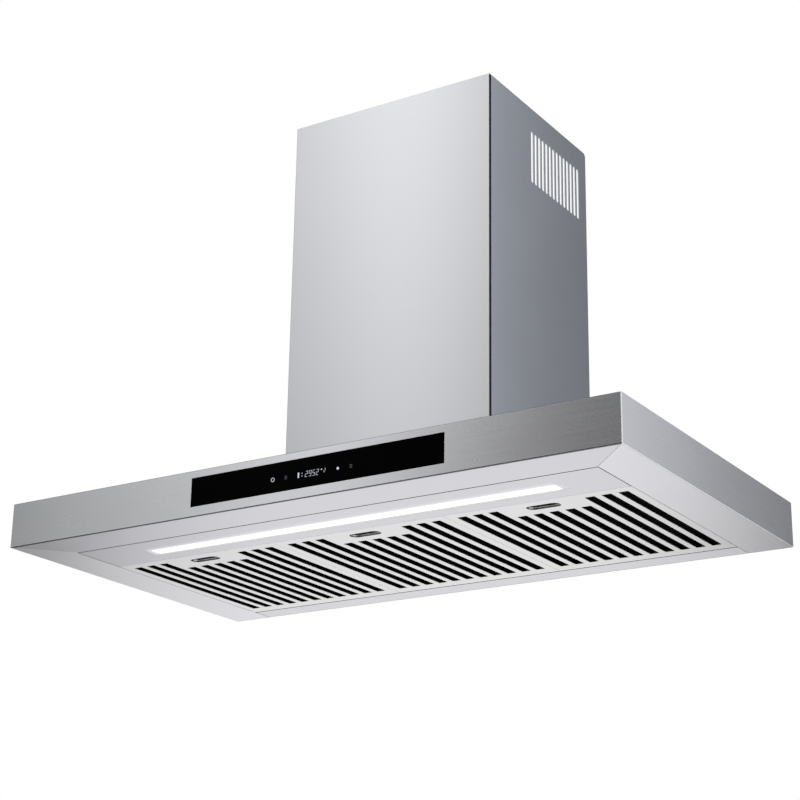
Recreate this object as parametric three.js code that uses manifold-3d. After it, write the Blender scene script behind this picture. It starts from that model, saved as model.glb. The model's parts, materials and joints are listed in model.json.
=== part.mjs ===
// Wall-mounted chimney range hood: a flat box canopy with a light bar, three baffle filters and
// touch controls, a double-inlet blower with a damper, and a two-section chimney cover.
// Millimetres. +X is the viewer's right when facing the front, +Y points at the wall, +Z is up.
// The origin is the centre of the canopy's underside.

import * as THREE from 'three';
import { mergeVertices } from 'three/addons/utils/BufferGeometryUtils.js';
import Module from 'manifold-3d';

const wasm = await Module();
wasm.setup();

// ---------------------------------------------------------------- driving dimensions

// Sheets and fits
const SHEET = 1.2; // canopy and blower box
const COVER_SHEET = 1.0; // chimney cover
const FILTER_SHEET = 0.8; // filter trays and baffles
const SEAT = 0.3; // gap left where two pieces touch
const SLIDE_GAP = 0.6; // running gap between the two chimney sections

// Facets in one half turn of each kind of round form
const SLOT_FACETS = 2;
const PIN_FACETS = 4;
const HOLE_FACETS = 6;
const GLAND_FACETS = 8;
const CASE_FACETS = 11;
const WHEEL_FACETS = 16;
const COLLAR_FACETS = 16;

// Canopy
const CANOPY_WIDTH = 900;
const CANOPY_DEPTH = 500;
const CANOPY_HEIGHT = 60;
const FLANGE = 14; // turned edge that carries the top panel
const CORNER_CHAMFER = 0.8; // eased vertical ends of the front fascia
const SIDE_RIM = 62; // width of the underside rim at each side
const FRONT_RIM = 64; // width of the underside rim at the front
const REAR_STRIP = 36; // width of the strip behind the filters
const UPSTAND = 10; // height of the turned-up inner edges
const MITRE_GAP = 0.6;

// Light bar
const LIGHT_PANEL = 86; // depth of the panel between front rim and filters
const PANEL_GAP = 0.8;
const KEEPER_HEIGHT = 8; // turned-up edges of the light panel
const LED_MARGIN_LEFT = 88; // from the side rim to the end of the diffuser
const LED_MARGIN_RIGHT = 66;
const LED_DEPTH = 21;
const LED_CENTRE = 51; // from the light panel's front edge
const BEZEL = 2;
const BEZEL_HEIGHT = 3;
const DIFFUSER_HEIGHT = 5;
const CHANNEL_HEIGHT = 18;
const CHANNEL_FOOT = 7;
const BOARD = 1.6; // circuit board thickness
const LED_BOARD_DEPTH = 12;

// Touch control
const GLASS_WIDTH = 370;
const GLASS_HEIGHT = 37.4;
const GLASS = 4; // thickness
const GLASS_X = 38.5; // centre
const GLASS_Z = 31.5; // centre
const TRAY_LIP = 5; // how far the tray's mouth laps behind the fascia
const TRAY_DEPTH = 14;
const TRAY_WALL = 1.5;
const CONTROL_BOARD_MARGIN = 6;

// LED driver
const DRIVER_LENGTH = 110;
const DRIVER_DEPTH = 34;
const DRIVER_HEIGHT = 24;
const DRIVER_EAR = 11;
const DRIVER_INSET = 80; // from the right side panel

// Baffle filters
const FILTER_PLACES = ['left', 'middle', 'right'];
const FILTER_GAP = 0.6; // between neighbours
const FILTER_FRONT_GAP = 0.8;
const FILTER_REAR_GAP = 1.6; // room for the rear edge to turn
const FILTER_HEIGHT = 11;
const SLOT_PITCH = 22.1;
const SLOT_WIDTH = 13.3;
const SLOT_SIDE_MARGIN = 11; // least metal beside the outer slots
const SLOT_FRONT_MARGIN = 15.2;
const SLOT_REAR_MARGIN = 20.4;
const SHORT_SLOT_START = 49.2; // from the filter's front edge, behind the handle
const SHORT_SLOTS_EACH_SIDE = 2; // beside the middle slot
const SLOT_RIB = 5; // turned-up edges of the lower baffles
const BAFFLE_LAP = 1.3; // from a lower turned-up edge to the upper baffle's leg
const BAFFLE_TOP = 9.6;
const BAFFLE_FLOOR_GAP = 2.2; // under the upper baffle's legs
const BAFFLE_RAIL = 12; // width of the two cross rails
const TAB_WIDTH = 24;
const TAB_REACH = 9;
const TAB_X = 80; // from the filter's centre

// Filter latches
const HANDLE_LENGTH = 46;
const HANDLE_DEPTH = 17;
const HANDLE_CENTRE = 24.2; // from the filter's front edge
const LATCH_SHEET = 1.2;
const PULL_ROOM = 4; // the latch's hole behind the tray's, for the fingertip
const PULL_LEAN = THREE.MathUtils.degToRad(30); // of the finger pull's wall, forward over the hole
const PULL_CLEARANCE = 0.6; // from that wall to the upper baffles
const LATCH_FRONT_GAP = 0.4; // from the tray's front wall to the latch's shoulders
const TONGUE_SHY = 0.4; // from the light panel's keeper edge to the tongue
const LATCH_WIDTH = 60;
const LATCH_LENGTH = 40;
const TONGUE_WIDTH = 22;
const TONGUE_CLEARANCE = 0.5;
const GUIDE_LIP = 4;

// Blower box
const COVER_SPACE_SIDE = 20.5; // from the chimney cover to the box
const COVER_SPACE_FRONT = 15;
const BOX_FOOT = 8; // turned-out lower edges
const OPENING_LEDGE = 6; // canopy top left standing inside the box
const WALL_PLATE = 2;
const WALL_PLATE_RISE = 42; // above the box
const KEYHOLE_X = 100;
const KEYHOLE_DROP = 26; // from the wall plate's top edge to the round hole
const KEYHOLE_RADIUS = 6;
const KEYHOLE_SLOT = 7;
const KEYHOLE_RISE = 14;

// Scroll and impeller
const VOLUTE_WALL = 2;
const VOLUTE_FRONT_SPACE = 2;
const VOLUTE_REAR_SPACE = 14;
const VOLUTE_FLOOR_SPACE = 10;
const NECK_HEIGHT = 36; // from the scroll's top to the box's top
const TONGUE_ANGLE = THREE.MathUtils.degToRad(125);
const SCROLL_GROWTH = 0.0769; // of the logarithmic spiral, per radian
const TONGUE_GAP = 6.5; // from the impeller to the scroll's tongue
const TONGUE_RADIUS = 3;
const SPIRAL_STEPS = 28;
const IMPELLER_WIDTH = 143;
const IMPELLER_SIDE_GAP = 4;
const BLADE_COUNT = 30;
const BLADE_CHORD = 14;
const BLADE_THICKNESS = 1.2;
const BLADE_INSET = 0.5; // from a ring's edges to the blade's
const BLADE_STEPS = 2; // along the chord
const BLADE_SWEEP = 0.16; // forward lean of the blade tip, radians
const RING = 2.5;
const DISC_RIM = 4.7; // blade left standing outside the centre disc
const INLET_LIP = 6;
const INLET_LIP_WALL = 3;
const HUB_RADIUS = 9;
const HUB_LENGTH = 20;
const SHAFT_RADIUS = 4;

// Motor and electrics
const MOTOR_RADIUS = 38;
const MOTOR_BELL = 5; // chamfer of the end bells
const BOSS_RADIUS = 12;
const BOSS_LENGTH = 6;
const BRACKET = 2;
const BRACKET_RING = 8;
const BRACKET_ARM = 14;
const BRACKET_ARMS = 3;
const CAPACITOR_RADIUS = 16;
const CAPACITOR_LENGTH = 55;
const CAPACITOR_CHAMFER = 2;
const CAPACITOR_DROP = 40; // room under the gland for the cable to bend
const TERMINAL_WIDTH = 36;
const TERMINAL_DEPTH = 84;
const TERMINAL_HEIGHT = 54;
const TERMINAL_LID = 6;
const CORNER_SPACE = 8; // from the capacitor and terminal box to the box's corners
const GLAND_BORE = 6; // radius
const GLAND_RADIUS = 10;
const GLAND_HEIGHT = 24;
const GLAND_TAPER = 2;
const GLAND_NUT_RADIUS = 14;
const GLAND_NUT = 6;
const GLAND_INSET = 34; // from the blower box's right and rear edges

// Outlet and damper
const DUCT_DIAMETER = 150;
const COLLAR_PLAY = 0.4; // collar radius under the duct's radius
const COLLAR_HEIGHT = 56;
const COLLAR_FLANGE = 13;
const COLLAR_EDGE = 4; // from the flange to the box's front edge
const STOP_HEIGHT = 16; // of the damper's stop ring above the flange
const STOP_RING = 3.5;
const STOP_SHEET = 1.5;
const FLAP_PLAY = 1.2; // from the collar's wall to the flap
const FLAP_SHEET = 0.8;
const AXLE_RADIUS = 2;
const KNUCKLE_WALL = 1;
const KNUCKLE_LENGTH = 18;
const KNUCKLE_PITCH = 24;
const KNUCKLE_PLACES = [-1.5, 0.5]; // in pitches; the other flap's knuckles fill the places between

// Chimney cover
const CHIMNEY_WIDTH = 321;
const CHIMNEY_DEPTH = 285;
const CHIMNEY_TOP = 640; // above the canopy's underside
const CHIMNEY_SEAM = 0.8; // shadow line between front and side panels
const COVER_FLANGE = 12;
const TOP_CORNER_CUT = 4;
const VENT_COUNT = 14;
const VENT_PITCH = 10.6;
const VENT_WIDTH = 5.7;
const VENT_LENGTH = 79;
const VENT_TOP = 36; // from the section's top edge to the slots
const VENT_REAR = 26.7; // from the wall to the rear slot's centre
const INNER_BELOW_VENTS = 5;
const FOOT_HEIGHT = 14;
const FOOT_INSET = 20; // from the cover's front and rear to the foot angle's ends

// ---------------------------------------------------------------- places worked out from them

const halfWidth = CANOPY_WIDTH / 2;
const frontY = -CANOPY_DEPTH / 2;
const wallY = CANOPY_DEPTH / 2;
const innerX = halfWidth - SHEET - SEAT; // inside the side panels
const innerFrontY = frontY + SHEET + SEAT;
const innerBackY = wallY - SHEET - SEAT;
const rimX = halfWidth - SIDE_RIM;
const rimY = frontY + FRONT_RIM;
const railY = wallY - REAR_STRIP;
const lightBackY = rimY + LIGHT_PANEL;
const topUnderside = CANOPY_HEIGHT - SHEET;
const flangeTop = topUnderside - SEAT;
const mitreRun = (innerX - rimX) / (rimY - innerFrontY);

const ledY = rimY + LED_CENTRE;
const ledLeft = LED_MARGIN_LEFT - rimX;
const ledRight = rimX - LED_MARGIN_RIGHT;
const channelTop = SHEET + SEAT + CHANNEL_HEIGHT;

const filterPitch = (2 * rimX) / FILTER_PLACES.length;
const filterWidth = filterPitch - FILTER_GAP;
const filterFrontY = lightBackY + FILTER_FRONT_GAP;
const filterRearY = railY - FILTER_REAR_GAP;
const strip = SLOT_PITCH - SLOT_WIDTH;
const slotCount = Math.floor((filterWidth - 2 * SLOT_SIDE_MARGIN + strip) / SLOT_PITCH);
const slotFrontY = filterFrontY + SLOT_FRONT_MARGIN;
const slotShortY = filterFrontY + SHORT_SLOT_START;
const slotRearY = filterRearY - SLOT_REAR_MARGIN;
const handleY = filterFrontY + HANDLE_CENTRE;
const latchFloor = FILTER_SHEET + SEAT;
const latchTop = latchFloor + LATCH_SHEET;
const pullTop = BAFFLE_TOP - FILTER_SHEET - PULL_CLEARANCE;

const chimneyFrontY = wallY - CHIMNEY_DEPTH;
const roofSeat = CANOPY_HEIGHT + SEAT; // foot of what stands on the canopy
const sideFrontY = chimneyFrontY + COVER_SHEET + CHIMNEY_SEAM;

const boxHalf = CHIMNEY_WIDTH / 2 - COVER_SPACE_SIDE;
const boxFrontY = chimneyFrontY + COVER_SPACE_FRONT;
const boxBackY = wallY - WALL_PLATE - SEAT;

const scrollEnd = TONGUE_ANGLE + Math.PI; // turned from the tongue to the front wall
const scrollGain = (turned) => Math.exp(SCROLL_GROWTH * turned);
const voluteFrontY = boxFrontY + SHEET + VOLUTE_FRONT_SPACE;
const voluteDepth = boxBackY - VOLUTE_REAR_SPACE - voluteFrontY;
const scrollBase = (voluteDepth - 2 * VOLUTE_WALL) / (scrollGain(scrollEnd) + scrollGain(TONGUE_ANGLE));
const scrollRadius = (turned) => scrollBase * scrollGain(turned);
const fanY = voluteFrontY + VOLUTE_WALL + scrollRadius(scrollEnd);
const fanZ = roofSeat + VOLUTE_FLOOR_SPACE + VOLUTE_WALL + scrollRadius(TONGUE_ANGLE + Math.PI / 2);
const boxTop = fanZ + scrollRadius(TONGUE_ANGLE - Math.PI / 2) + VOLUTE_WALL + NECK_HEIGHT;
const plateTop = boxTop + SEAT + SHEET;
const impellerRadius = scrollBase - TONGUE_GAP;
const bladeRoot = impellerRadius - BLADE_CHORD;
const voluteHalf = IMPELLER_WIDTH / 2 + IMPELLER_SIDE_GAP + VOLUTE_WALL;
const bracketX = voluteHalf + INLET_LIP + SEAT;

const collarRadius = DUCT_DIAMETER / 2 - COLLAR_PLAY;
const collarInner = collarRadius - SHEET;
const collarFlange = collarRadius + COLLAR_FLANGE;
const collarY = boxFrontY + COLLAR_EDGE + collarFlange;
const collarFloor = plateTop + SEAT;
const knuckleRadius = AXLE_RADIUS + SEAT + KNUCKLE_WALL;
const axleZ = collarFloor + STOP_HEIGHT + STOP_SHEET + SEAT + FLAP_SHEET / 2;
const flapRadius = collarInner - FLAP_PLAY;

const innerFloor = roofSeat + FOOT_HEIGHT + SEAT;
const innerTop = CHIMNEY_TOP - VENT_TOP - VENT_LENGTH - INNER_BELOW_VENTS;
const slideHalf = CHIMNEY_WIDTH / 2 - COVER_SHEET - SLIDE_GAP;
const slideFrontY = sideFrontY + COVER_SHEET + SLIDE_GAP;
const slideBackY = wallY - COVER_SHEET - SLIDE_GAP;

// ---------------------------------------------------------------- solids

// Vertices sit on this many steps to the millimetre, which 32-bit numbers hold exactly, so faces
// meant to be level with each other are.
const GRID = 1024;

function solid(geometry) {
  const bare = geometry.clone();
  bare.deleteAttribute('normal');
  bare.deleteAttribute('uv');
  const position = bare.attributes.position.array;
  position.forEach((value, i) => {
    position[i] = Math.round(value * GRID) / GRID;
  });
  const merged = mergeVertices(bare, 0.5 / GRID);
  return new wasm.Manifold(
    new wasm.Mesh({
      numProp: 3,
      vertProperties: new Float32Array(merged.attributes.position.array),
      triVerts: new Uint32Array(merged.index.array),
    }),
  );
}

function geometryOf(body) {
  const mesh = body.getMesh();
  const geometry = new THREE.BufferGeometry();
  geometry.setAttribute('position', new THREE.BufferAttribute(mesh.vertProperties, 3));
  geometry.setIndex(new THREE.BufferAttribute(mesh.triVerts, 1));
  geometry.computeVertexNormals();
  return geometry;
}

const join = (...bodies) => bodies.reduce((sum, body) => sum.add(body));
const cut = (body, ...tools) => tools.reduce((rest, tool) => rest.subtract(tool), body);

// A box between two values on each axis, given in either order.
function block(x0, x1, y0, y1, z0, z1) {
  const geometry = new THREE.BoxGeometry(Math.abs(x1 - x0), Math.abs(y1 - y0), Math.abs(z1 - z0));
  geometry.translate((x0 + x1) / 2, (y0 + y1) / 2, (z0 + z1) / 2);
  return solid(geometry);
}

const outline = (points) => new THREE.Shape(points.map(([u, v]) => new THREE.Vector2(u, v)));

function extrude(shape, depth, facets = PIN_FACETS) {
  return new THREE.ExtrudeGeometry(shape, { depth, bevelEnabled: false, curveSegments: facets });
}

// A plan outline (x, y) raised from z0 to z1.
function prismZ(shape, z0, z1, facets) {
  return solid(extrude(shape, z1 - z0, facets).translate(0, 0, z0));
}

// A side outline (y, z) carried from x0 to x1.
function prismX(shape, x0, x1, facets) {
  const axes = new THREE.Matrix4().makeBasis(
    new THREE.Vector3(0, 1, 0),
    new THREE.Vector3(0, 0, 1),
    new THREE.Vector3(1, 0, 0),
  );
  return solid(extrude(shape, x1 - x0, facets).applyMatrix4(axes).translate(x0, 0, 0));
}

// A front outline (x, z) carried from y0 to y1.
function prismY(shape, y0, y1, facets) {
  const axes = new THREE.Matrix4().makeBasis(
    new THREE.Vector3(1, 0, 0),
    new THREE.Vector3(0, 0, 1),
    new THREE.Vector3(0, -1, 0),
  );
  return solid(extrude(shape, y1 - y0, facets).applyMatrix4(axes).translate(0, y1, 0));
}

function disc(u, v, radius) {
  const shape = new THREE.Shape();
  shape.absarc(u, v, radius, 0, 2 * Math.PI, false);
  return shape;
}

function ring(u, v, outer, inner) {
  const shape = disc(u, v, outer);
  shape.holes.push(disc(u, v, inner));
  return shape;
}

// A slot with round ends, its long side along the second axis.
function roundSlot(u, low, high, width) {
  const r = width / 2;
  const shape = new THREE.Shape();
  shape.absarc(u, high - r, r, 0, Math.PI, false);
  shape.absarc(u, low + r, r, Math.PI, 2 * Math.PI, false);
  return shape;
}

// A slot with round ends, its long side along the first axis.
function roundBar(length, v, width) {
  const r = width / 2;
  const shape = new THREE.Shape();
  shape.absarc(length / 2 - r, v, r, -Math.PI / 2, Math.PI / 2, false);
  shape.absarc(-length / 2 + r, v, r, Math.PI / 2, 1.5 * Math.PI, false);
  return shape;
}

// A closed profile of [radius, height] points turned about a vertical axis.
function turned(profile, facets) {
  const points = [...profile, profile[0]].map(([r, z]) => new THREE.Vector2(r, z));
  return solid(new THREE.LatheGeometry(points, 2 * facets).rotateX(Math.PI / 2));
}

// ---------------------------------------------------------------- canopy

// Folded sheet: the face and a flange turned back under the top panel.
function frontFascia() {
  const section = outline([
    [frontY, 0],
    [frontY + SHEET, 0],
    [frontY + SHEET, flangeTop - SHEET],
    [frontY + FLANGE, flangeTop - SHEET],
    [frontY + FLANGE, flangeTop],
    [frontY + SHEET, flangeTop],
    [frontY + SHEET, CANOPY_HEIGHT],
    [frontY, CANOPY_HEIGHT],
  ]);
  const above = CANOPY_HEIGHT + SHEET;
  const flangeEnd = (side) =>
    block(side * innerX, side * CANOPY_WIDTH, frontY + SHEET, frontY + 2 * FLANGE, -SHEET, above);
  const easedEnd = (side) => {
    const reach = 2 * CORNER_CHAMFER;
    const corners = [
      [side * (halfWidth + reach), frontY - reach],
      [side * (halfWidth + reach), frontY + CORNER_CHAMFER + reach],
      [side * (halfWidth - CORNER_CHAMFER - reach), frontY - reach],
    ];
    return prismZ(outline(corners), -SHEET, above);
  };
  const window = glassBlock(SEAT, frontY - SHEET, frontY + 2 * SHEET);
  const face = prismX(section, -halfWidth, halfWidth);
  return cut(face, window, ...[-1, 1].flatMap((side) => [flangeEnd(side), easedEnd(side)]));
}

// Folded sheet: the side and a flange turned in under the top panel.
function sidePanel(side) {
  const section = outline([
    [side * halfWidth, 0],
    [side * halfWidth, CANOPY_HEIGHT],
    [side * (halfWidth - SHEET), CANOPY_HEIGHT],
    [side * (halfWidth - SHEET), flangeTop],
    [side * (halfWidth - FLANGE), flangeTop],
    [side * (halfWidth - FLANGE), flangeTop - SHEET],
    [side * (halfWidth - SHEET), flangeTop - SHEET],
    [side * (halfWidth - SHEET), 0],
  ]);
  const notch = (y0, y1) =>
    block(side * (halfWidth - SHEET), side * (halfWidth - 2 * FLANGE), y0, y1, 0, CANOPY_HEIGHT + SHEET);
  return cut(
    prismY(section, innerFrontY, wallY),
    notch(frontY, frontY + FLANGE + SEAT),
    notch(innerBackY, wallY + SHEET),
  );
}

function topPanel() {
  const sheet = block(-innerX, innerX, innerFrontY, innerBackY, topUnderside, CANOPY_HEIGHT);
  const x = boxHalf - SHEET - OPENING_LEDGE;
  const opening = block(
    -x,
    x,
    boxFrontY + SHEET + OPENING_LEDGE,
    boxBackY - OPENING_LEDGE,
    topUnderside - SHEET,
    CANOPY_HEIGHT + SHEET,
  );
  return cut(sheet, opening);
}

const backPanel = () => block(-innerX, innerX, wallY - SHEET, wallY, 0, CANOPY_HEIGHT);

// Two points on a front corner's mitre line, past both of its ends, moved in along X by shift.
function mitreLine(side, shift) {
  return [rimY + FRONT_RIM, innerFrontY - FRONT_RIM].map((y) => [
    side * (rimX - shift + (rimY - y) * mitreRun),
    y,
  ]);
}

// Everything outside a front corner's mitre line.
function mitreCut(side) {
  const far = side * CANOPY_WIDTH;
  const corners = [...mitreLine(side, MITRE_GAP), [far, innerFrontY - FRONT_RIM], [far, rimY + FRONT_RIM]];
  return prismZ(outline(corners), -SHEET, UPSTAND + SHEET);
}

// Section of a rim: a flat strip from outer to inner with the inner edge turned up.
function rimSection(outer, inner) {
  const edge = inner + Math.sign(outer - inner) * SHEET;
  return outline([
    [outer, 0],
    [inner, 0],
    [inner, UPSTAND],
    [edge, UPSTAND],
    [edge, SHEET],
    [outer, SHEET],
  ]);
}

function frontRim() {
  const strip = prismX(rimSection(innerFrontY, rimY), -innerX, innerX);
  return cut(strip, mitreCut(-1), mitreCut(1));
}

function sideRim(side) {
  const strip = prismY(rimSection(side * innerX, side * rimX), innerFrontY, innerBackY);
  const front = [
    ...mitreLine(side, 0),
    [0, innerFrontY - FRONT_RIM],
    [0, rimY],
    [side * (rimX - FRONT_RIM / 2), rimY],
  ];
  return cut(strip, prismZ(outline(front), -SHEET, UPSTAND + SHEET));
}

const rearRail = () => prismX(rimSection(railY, innerBackY), -(rimX - SEAT), rimX - SEAT);

// ---------------------------------------------------------------- light bar

const ledCutGrow = BEZEL + 2 * SEAT; // the panel's cut past each end of the diffuser
const ledCutDepth = LED_DEPTH + 2 * BEZEL + 4 * SEAT;

// Folded tray whose rear edge is the keeper in front of the filters.
function lightPanel() {
  const x = rimX - SEAT;
  const y = rimY + PANEL_GAP;
  const section = outline([
    [y, 0],
    [lightBackY, 0],
    [lightBackY, KEEPER_HEIGHT],
    [lightBackY - SHEET, KEEPER_HEIGHT],
    [lightBackY - SHEET, SHEET],
    [y + SHEET, SHEET],
    [y + SHEET, KEEPER_HEIGHT],
    [y, KEEPER_HEIGHT],
  ]);
  return cut(prismX(section, -x, x), ledBlock(ledCutGrow, ledCutDepth, -SHEET, 2 * SHEET));
}

// A block along the light strip, longer than it by grow at each end, given by its depth.
function ledBlock(grow, depth, z0, z1) {
  return block(ledLeft - grow, ledRight + grow, ledY - depth / 2, ledY + depth / 2, z0, z1);
}

function ledBezel() {
  const outer = ledBlock(BEZEL + SEAT, LED_DEPTH + 2 * BEZEL + 2 * SEAT, 0, BEZEL_HEIGHT);
  return cut(outer, ledBlock(SEAT, LED_DEPTH + 2 * SEAT, -SHEET, BEZEL_HEIGHT + SHEET));
}

const ledDiffuser = () => ledBlock(0, LED_DEPTH, 0, DIFFUSER_HEIGHT);

// Hat section that carries the light-emitting strip above the diffuser.
function ledChannel() {
  const floor = SHEET + SEAT;
  const inside = ledCutDepth / 2;
  const outside = inside + SHEET;
  const foot = outside + CHANNEL_FOOT;
  const hat = [
    [-foot, floor],
    [-inside, floor],
    [-inside, channelTop - SHEET],
    [inside, channelTop - SHEET],
    [inside, floor],
    [foot, floor],
    [foot, floor + SHEET],
    [outside, floor + SHEET],
    [outside, channelTop],
    [-outside, channelTop],
    [-outside, floor + SHEET],
    [-foot, floor + SHEET],
  ];
  const section = outline(hat.map(([y, z]) => [y + ledY, z]));
  return prismX(section, ledLeft - ledCutGrow, ledRight + ledCutGrow);
}

function ledBoard() {
  const top = channelTop - SHEET - SEAT;
  return ledBlock(0, LED_BOARD_DEPTH, top - BOARD, top);
}

// ---------------------------------------------------------------- touch control

// A block centred on the control glass, wider and taller than it by grow on each side.
function glassBlock(grow, y0, y1) {
  const halfW = GLASS_WIDTH / 2 + grow;
  const halfH = GLASS_HEIGHT / 2 + grow;
  return block(GLASS_X - halfW, GLASS_X + halfW, y0, y1, GLASS_Z - halfH, GLASS_Z + halfH);
}

const controlGlass = () => glassBlock(0, frontY, frontY + GLASS);

function controlTray() {
  const back = innerFrontY + TRAY_DEPTH;
  const body = glassBlock(TRAY_LIP, innerFrontY, back);
  return cut(body, glassBlock(TRAY_LIP - TRAY_WALL, innerFrontY - TRAY_WALL, back - TRAY_WALL));
}

function controlBoard() {
  const back = innerFrontY + TRAY_DEPTH - TRAY_WALL - SEAT;
  return glassBlock(-CONTROL_BOARD_MARGIN, back - BOARD, back);
}

// Sealed supply with a mounting ear at each end, on the front rim.
function ledDriver() {
  const x1 = innerX - DRIVER_INSET;
  const x0 = x1 - DRIVER_LENGTH;
  const y0 = frontY + FLANGE;
  const z0 = SHEET + SEAT;
  const section = outline([
    [x0, z0],
    [x1, z0],
    [x1, z0 + SHEET],
    [x1 - DRIVER_EAR, z0 + SHEET],
    [x1 - DRIVER_EAR, z0 + DRIVER_HEIGHT],
    [x0 + DRIVER_EAR, z0 + DRIVER_HEIGHT],
    [x0 + DRIVER_EAR, z0 + SHEET],
    [x0, z0 + SHEET],
  ]);
  return prismY(section, y0, y0 + DRIVER_DEPTH);
}

// ---------------------------------------------------------------- baffle filters

const filterHalf = filterWidth / 2;
const slotXs = Array.from({ length: slotCount }, (_, i) => (i - (slotCount - 1) / 2) * SLOT_PITCH);
const isShort = (x) => Math.abs(x) < (SHORT_SLOTS_EACH_SIDE + 0.5) * SLOT_PITCH;

// A pressed tray: slots with turned-up edges between them, an upstand all round, guides for the
// latch in front and two tabs that hook over the rear rail.
function filterTray() {
  const wall = FILTER_SHEET;
  const inside = filterHalf - wall;
  const pan = cut(
    block(-filterHalf, filterHalf, filterFrontY, filterRearY, 0, FILTER_HEIGHT),
    block(-inside, inside, filterFrontY + wall, filterRearY - wall, wall, 2 * FILTER_HEIGHT),
  );
  const startY = (x) => (isShort(x) ? slotShortY : slotFrontY);
  const ribs = slotXs.flatMap((x) =>
    [-1, 1].map((side) => {
      const edge = x + (side * SLOT_WIDTH) / 2;
      return block(edge, edge + side * wall, startY(x), slotRearY, wall / 2, SLOT_RIB);
    }),
  );
  const slots = slotXs.map((x) =>
    block(x - SLOT_WIDTH / 2, x + SLOT_WIDTH / 2, startY(x), slotRearY, -wall, 2 * wall),
  );
  const tabFloor = SHEET + SEAT;
  const tabs = [-1, 1].map((side) =>
    block(
      side * TAB_X - TAB_WIDTH / 2,
      side * TAB_X + TAB_WIDTH / 2,
      filterRearY - wall / 2,
      filterRearY + TAB_REACH,
      tabFloor,
      tabFloor + wall,
    ),
  );
  const handleHole = prismZ(pullOutline(0, 0), -wall, 2 * wall, HOLE_FACETS);
  const tongueHole = block(
    -TONGUE_WIDTH / 2 - TONGUE_CLEARANCE,
    TONGUE_WIDTH / 2 + TONGUE_CLEARANCE,
    filterFrontY - wall,
    filterFrontY + 2 * wall,
    wall,
    latchTop + TONGUE_CLEARANCE,
  );
  const tray = join(pan, ...ribs, ...tabs, ...[-1, 1].map(latchGuide));
  return cut(tray, handleHole, tongueHole, ...slots);
}

// The oval hole for a fingertip, with room added behind and at its ends, and grown all round.
function pullOutline(room, grow) {
  const added = room + 2 * grow;
  return roundBar(HANDLE_LENGTH + added, handleY + room / 2, HANDLE_DEPTH + added);
}

// A plan outline raised from z0 to z1, true at the latch plate's top and leaning forward above it.
function leaningPrism(shape, z0, z1) {
  const lean = new THREE.Matrix4().makeShear(0, 0, 0, 0, 0, -Math.tan(PULL_LEAN));
  const upright = extrude(shape, z1 - z0, HOLE_FACETS).translate(0, 0, z0 - latchTop);
  return solid(upright.applyMatrix4(lean).translate(0, 0, latchTop));
}

const latchFrontY = filterFrontY + FILTER_SHEET + LATCH_FRONT_GAP;
const latchRearY = latchFrontY + LATCH_LENGTH;

function latchGuide(side) {
  const inside = LATCH_WIDTH / 2 + SEAT;
  const outside = inside + FILTER_SHEET;
  const lipFloor = latchTop + SEAT;
  const section = [
    [inside, FILTER_SHEET / 2],
    [outside, FILTER_SHEET / 2],
    [outside, lipFloor + FILTER_SHEET],
    [outside - GUIDE_LIP, lipFloor + FILTER_SHEET],
    [outside - GUIDE_LIP, lipFloor],
    [inside, lipFloor],
  ];
  return prismY(outline(section.map(([x, z]) => [side * x, z])), latchFrontY, latchRearY);
}

// Upper row: inverted channels over the slots, fused to a cross rail at each end.
function filterBaffles() {
  const wall = FILTER_SHEET;
  const half = SLOT_WIDTH / 2 + wall + BAFFLE_LAP;
  const legFloor = wall + BAFFLE_FLOOR_GAP;
  const y0 = filterFrontY + wall + SEAT;
  const y1 = filterRearY - wall - SEAT;
  const channel = (x) =>
    outline([
      [x - half - wall, legFloor],
      [x - half, legFloor],
      [x - half, BAFFLE_TOP - wall],
      [x + half, BAFFLE_TOP - wall],
      [x + half, legFloor],
      [x + half + wall, legFloor],
      [x + half + wall, BAFFLE_TOP],
      [x - half - wall, BAFFLE_TOP],
    ]);
  const channels = slotXs.map((x) => prismY(channel(x), y0, y1));
  const railHalf = filterHalf - wall - SEAT;
  const rail = (from, to) =>
    block(-railHalf, railHalf, from, to, BAFFLE_TOP - wall / 2, BAFFLE_TOP + wall / 2);
  const latchRoom = block(
    -LATCH_WIDTH / 2 - GUIDE_LIP,
    LATCH_WIDTH / 2 + GUIDE_LIP,
    filterFrontY,
    slotShortY,
    0,
    BAFFLE_TOP - wall,
  );
  const row = join(...channels, rail(y0, y0 + BAFFLE_RAIL), rail(y1 - BAFFLE_RAIL, y1));
  return cut(row, latchRoom);
}

// Sliding latch: a plate with a tongue in front and a finger hole whose rear half is turned up
// into a leaning wall that the fingertip draws back.
function filterLatch() {
  const tongueEnd = lightBackY + TONGUE_SHY;
  const plate = outline([
    [-TONGUE_WIDTH / 2, tongueEnd],
    [TONGUE_WIDTH / 2, tongueEnd],
    [TONGUE_WIDTH / 2, latchFrontY],
    [LATCH_WIDTH / 2, latchFrontY],
    [LATCH_WIDTH / 2, latchRearY],
    [-LATCH_WIDTH / 2, latchRearY],
    [-LATCH_WIDTH / 2, latchFrontY],
    [-TONGUE_WIDTH / 2, latchFrontY],
  ]);
  const wall = leaningPrism(pullOutline(PULL_ROOM, LATCH_SHEET), latchFloor + LATCH_SHEET / 2, pullTop);
  const middleY = handleY + PULL_ROOM / 2;
  const frontHalf = block(-LATCH_WIDTH, LATCH_WIDTH, middleY - LATCH_LENGTH, middleY, 0, 2 * pullTop);
  const body = join(prismZ(plate, latchFloor, latchTop), cut(wall, frontHalf));
  const inside = pullOutline(PULL_ROOM, 0);
  const hole = prismZ(inside, 0, latchTop, HOLE_FACETS);
  return cut(body, hole, leaningPrism(inside, latchTop, 2 * pullTop));
}

// ---------------------------------------------------------------- blower box

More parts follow.
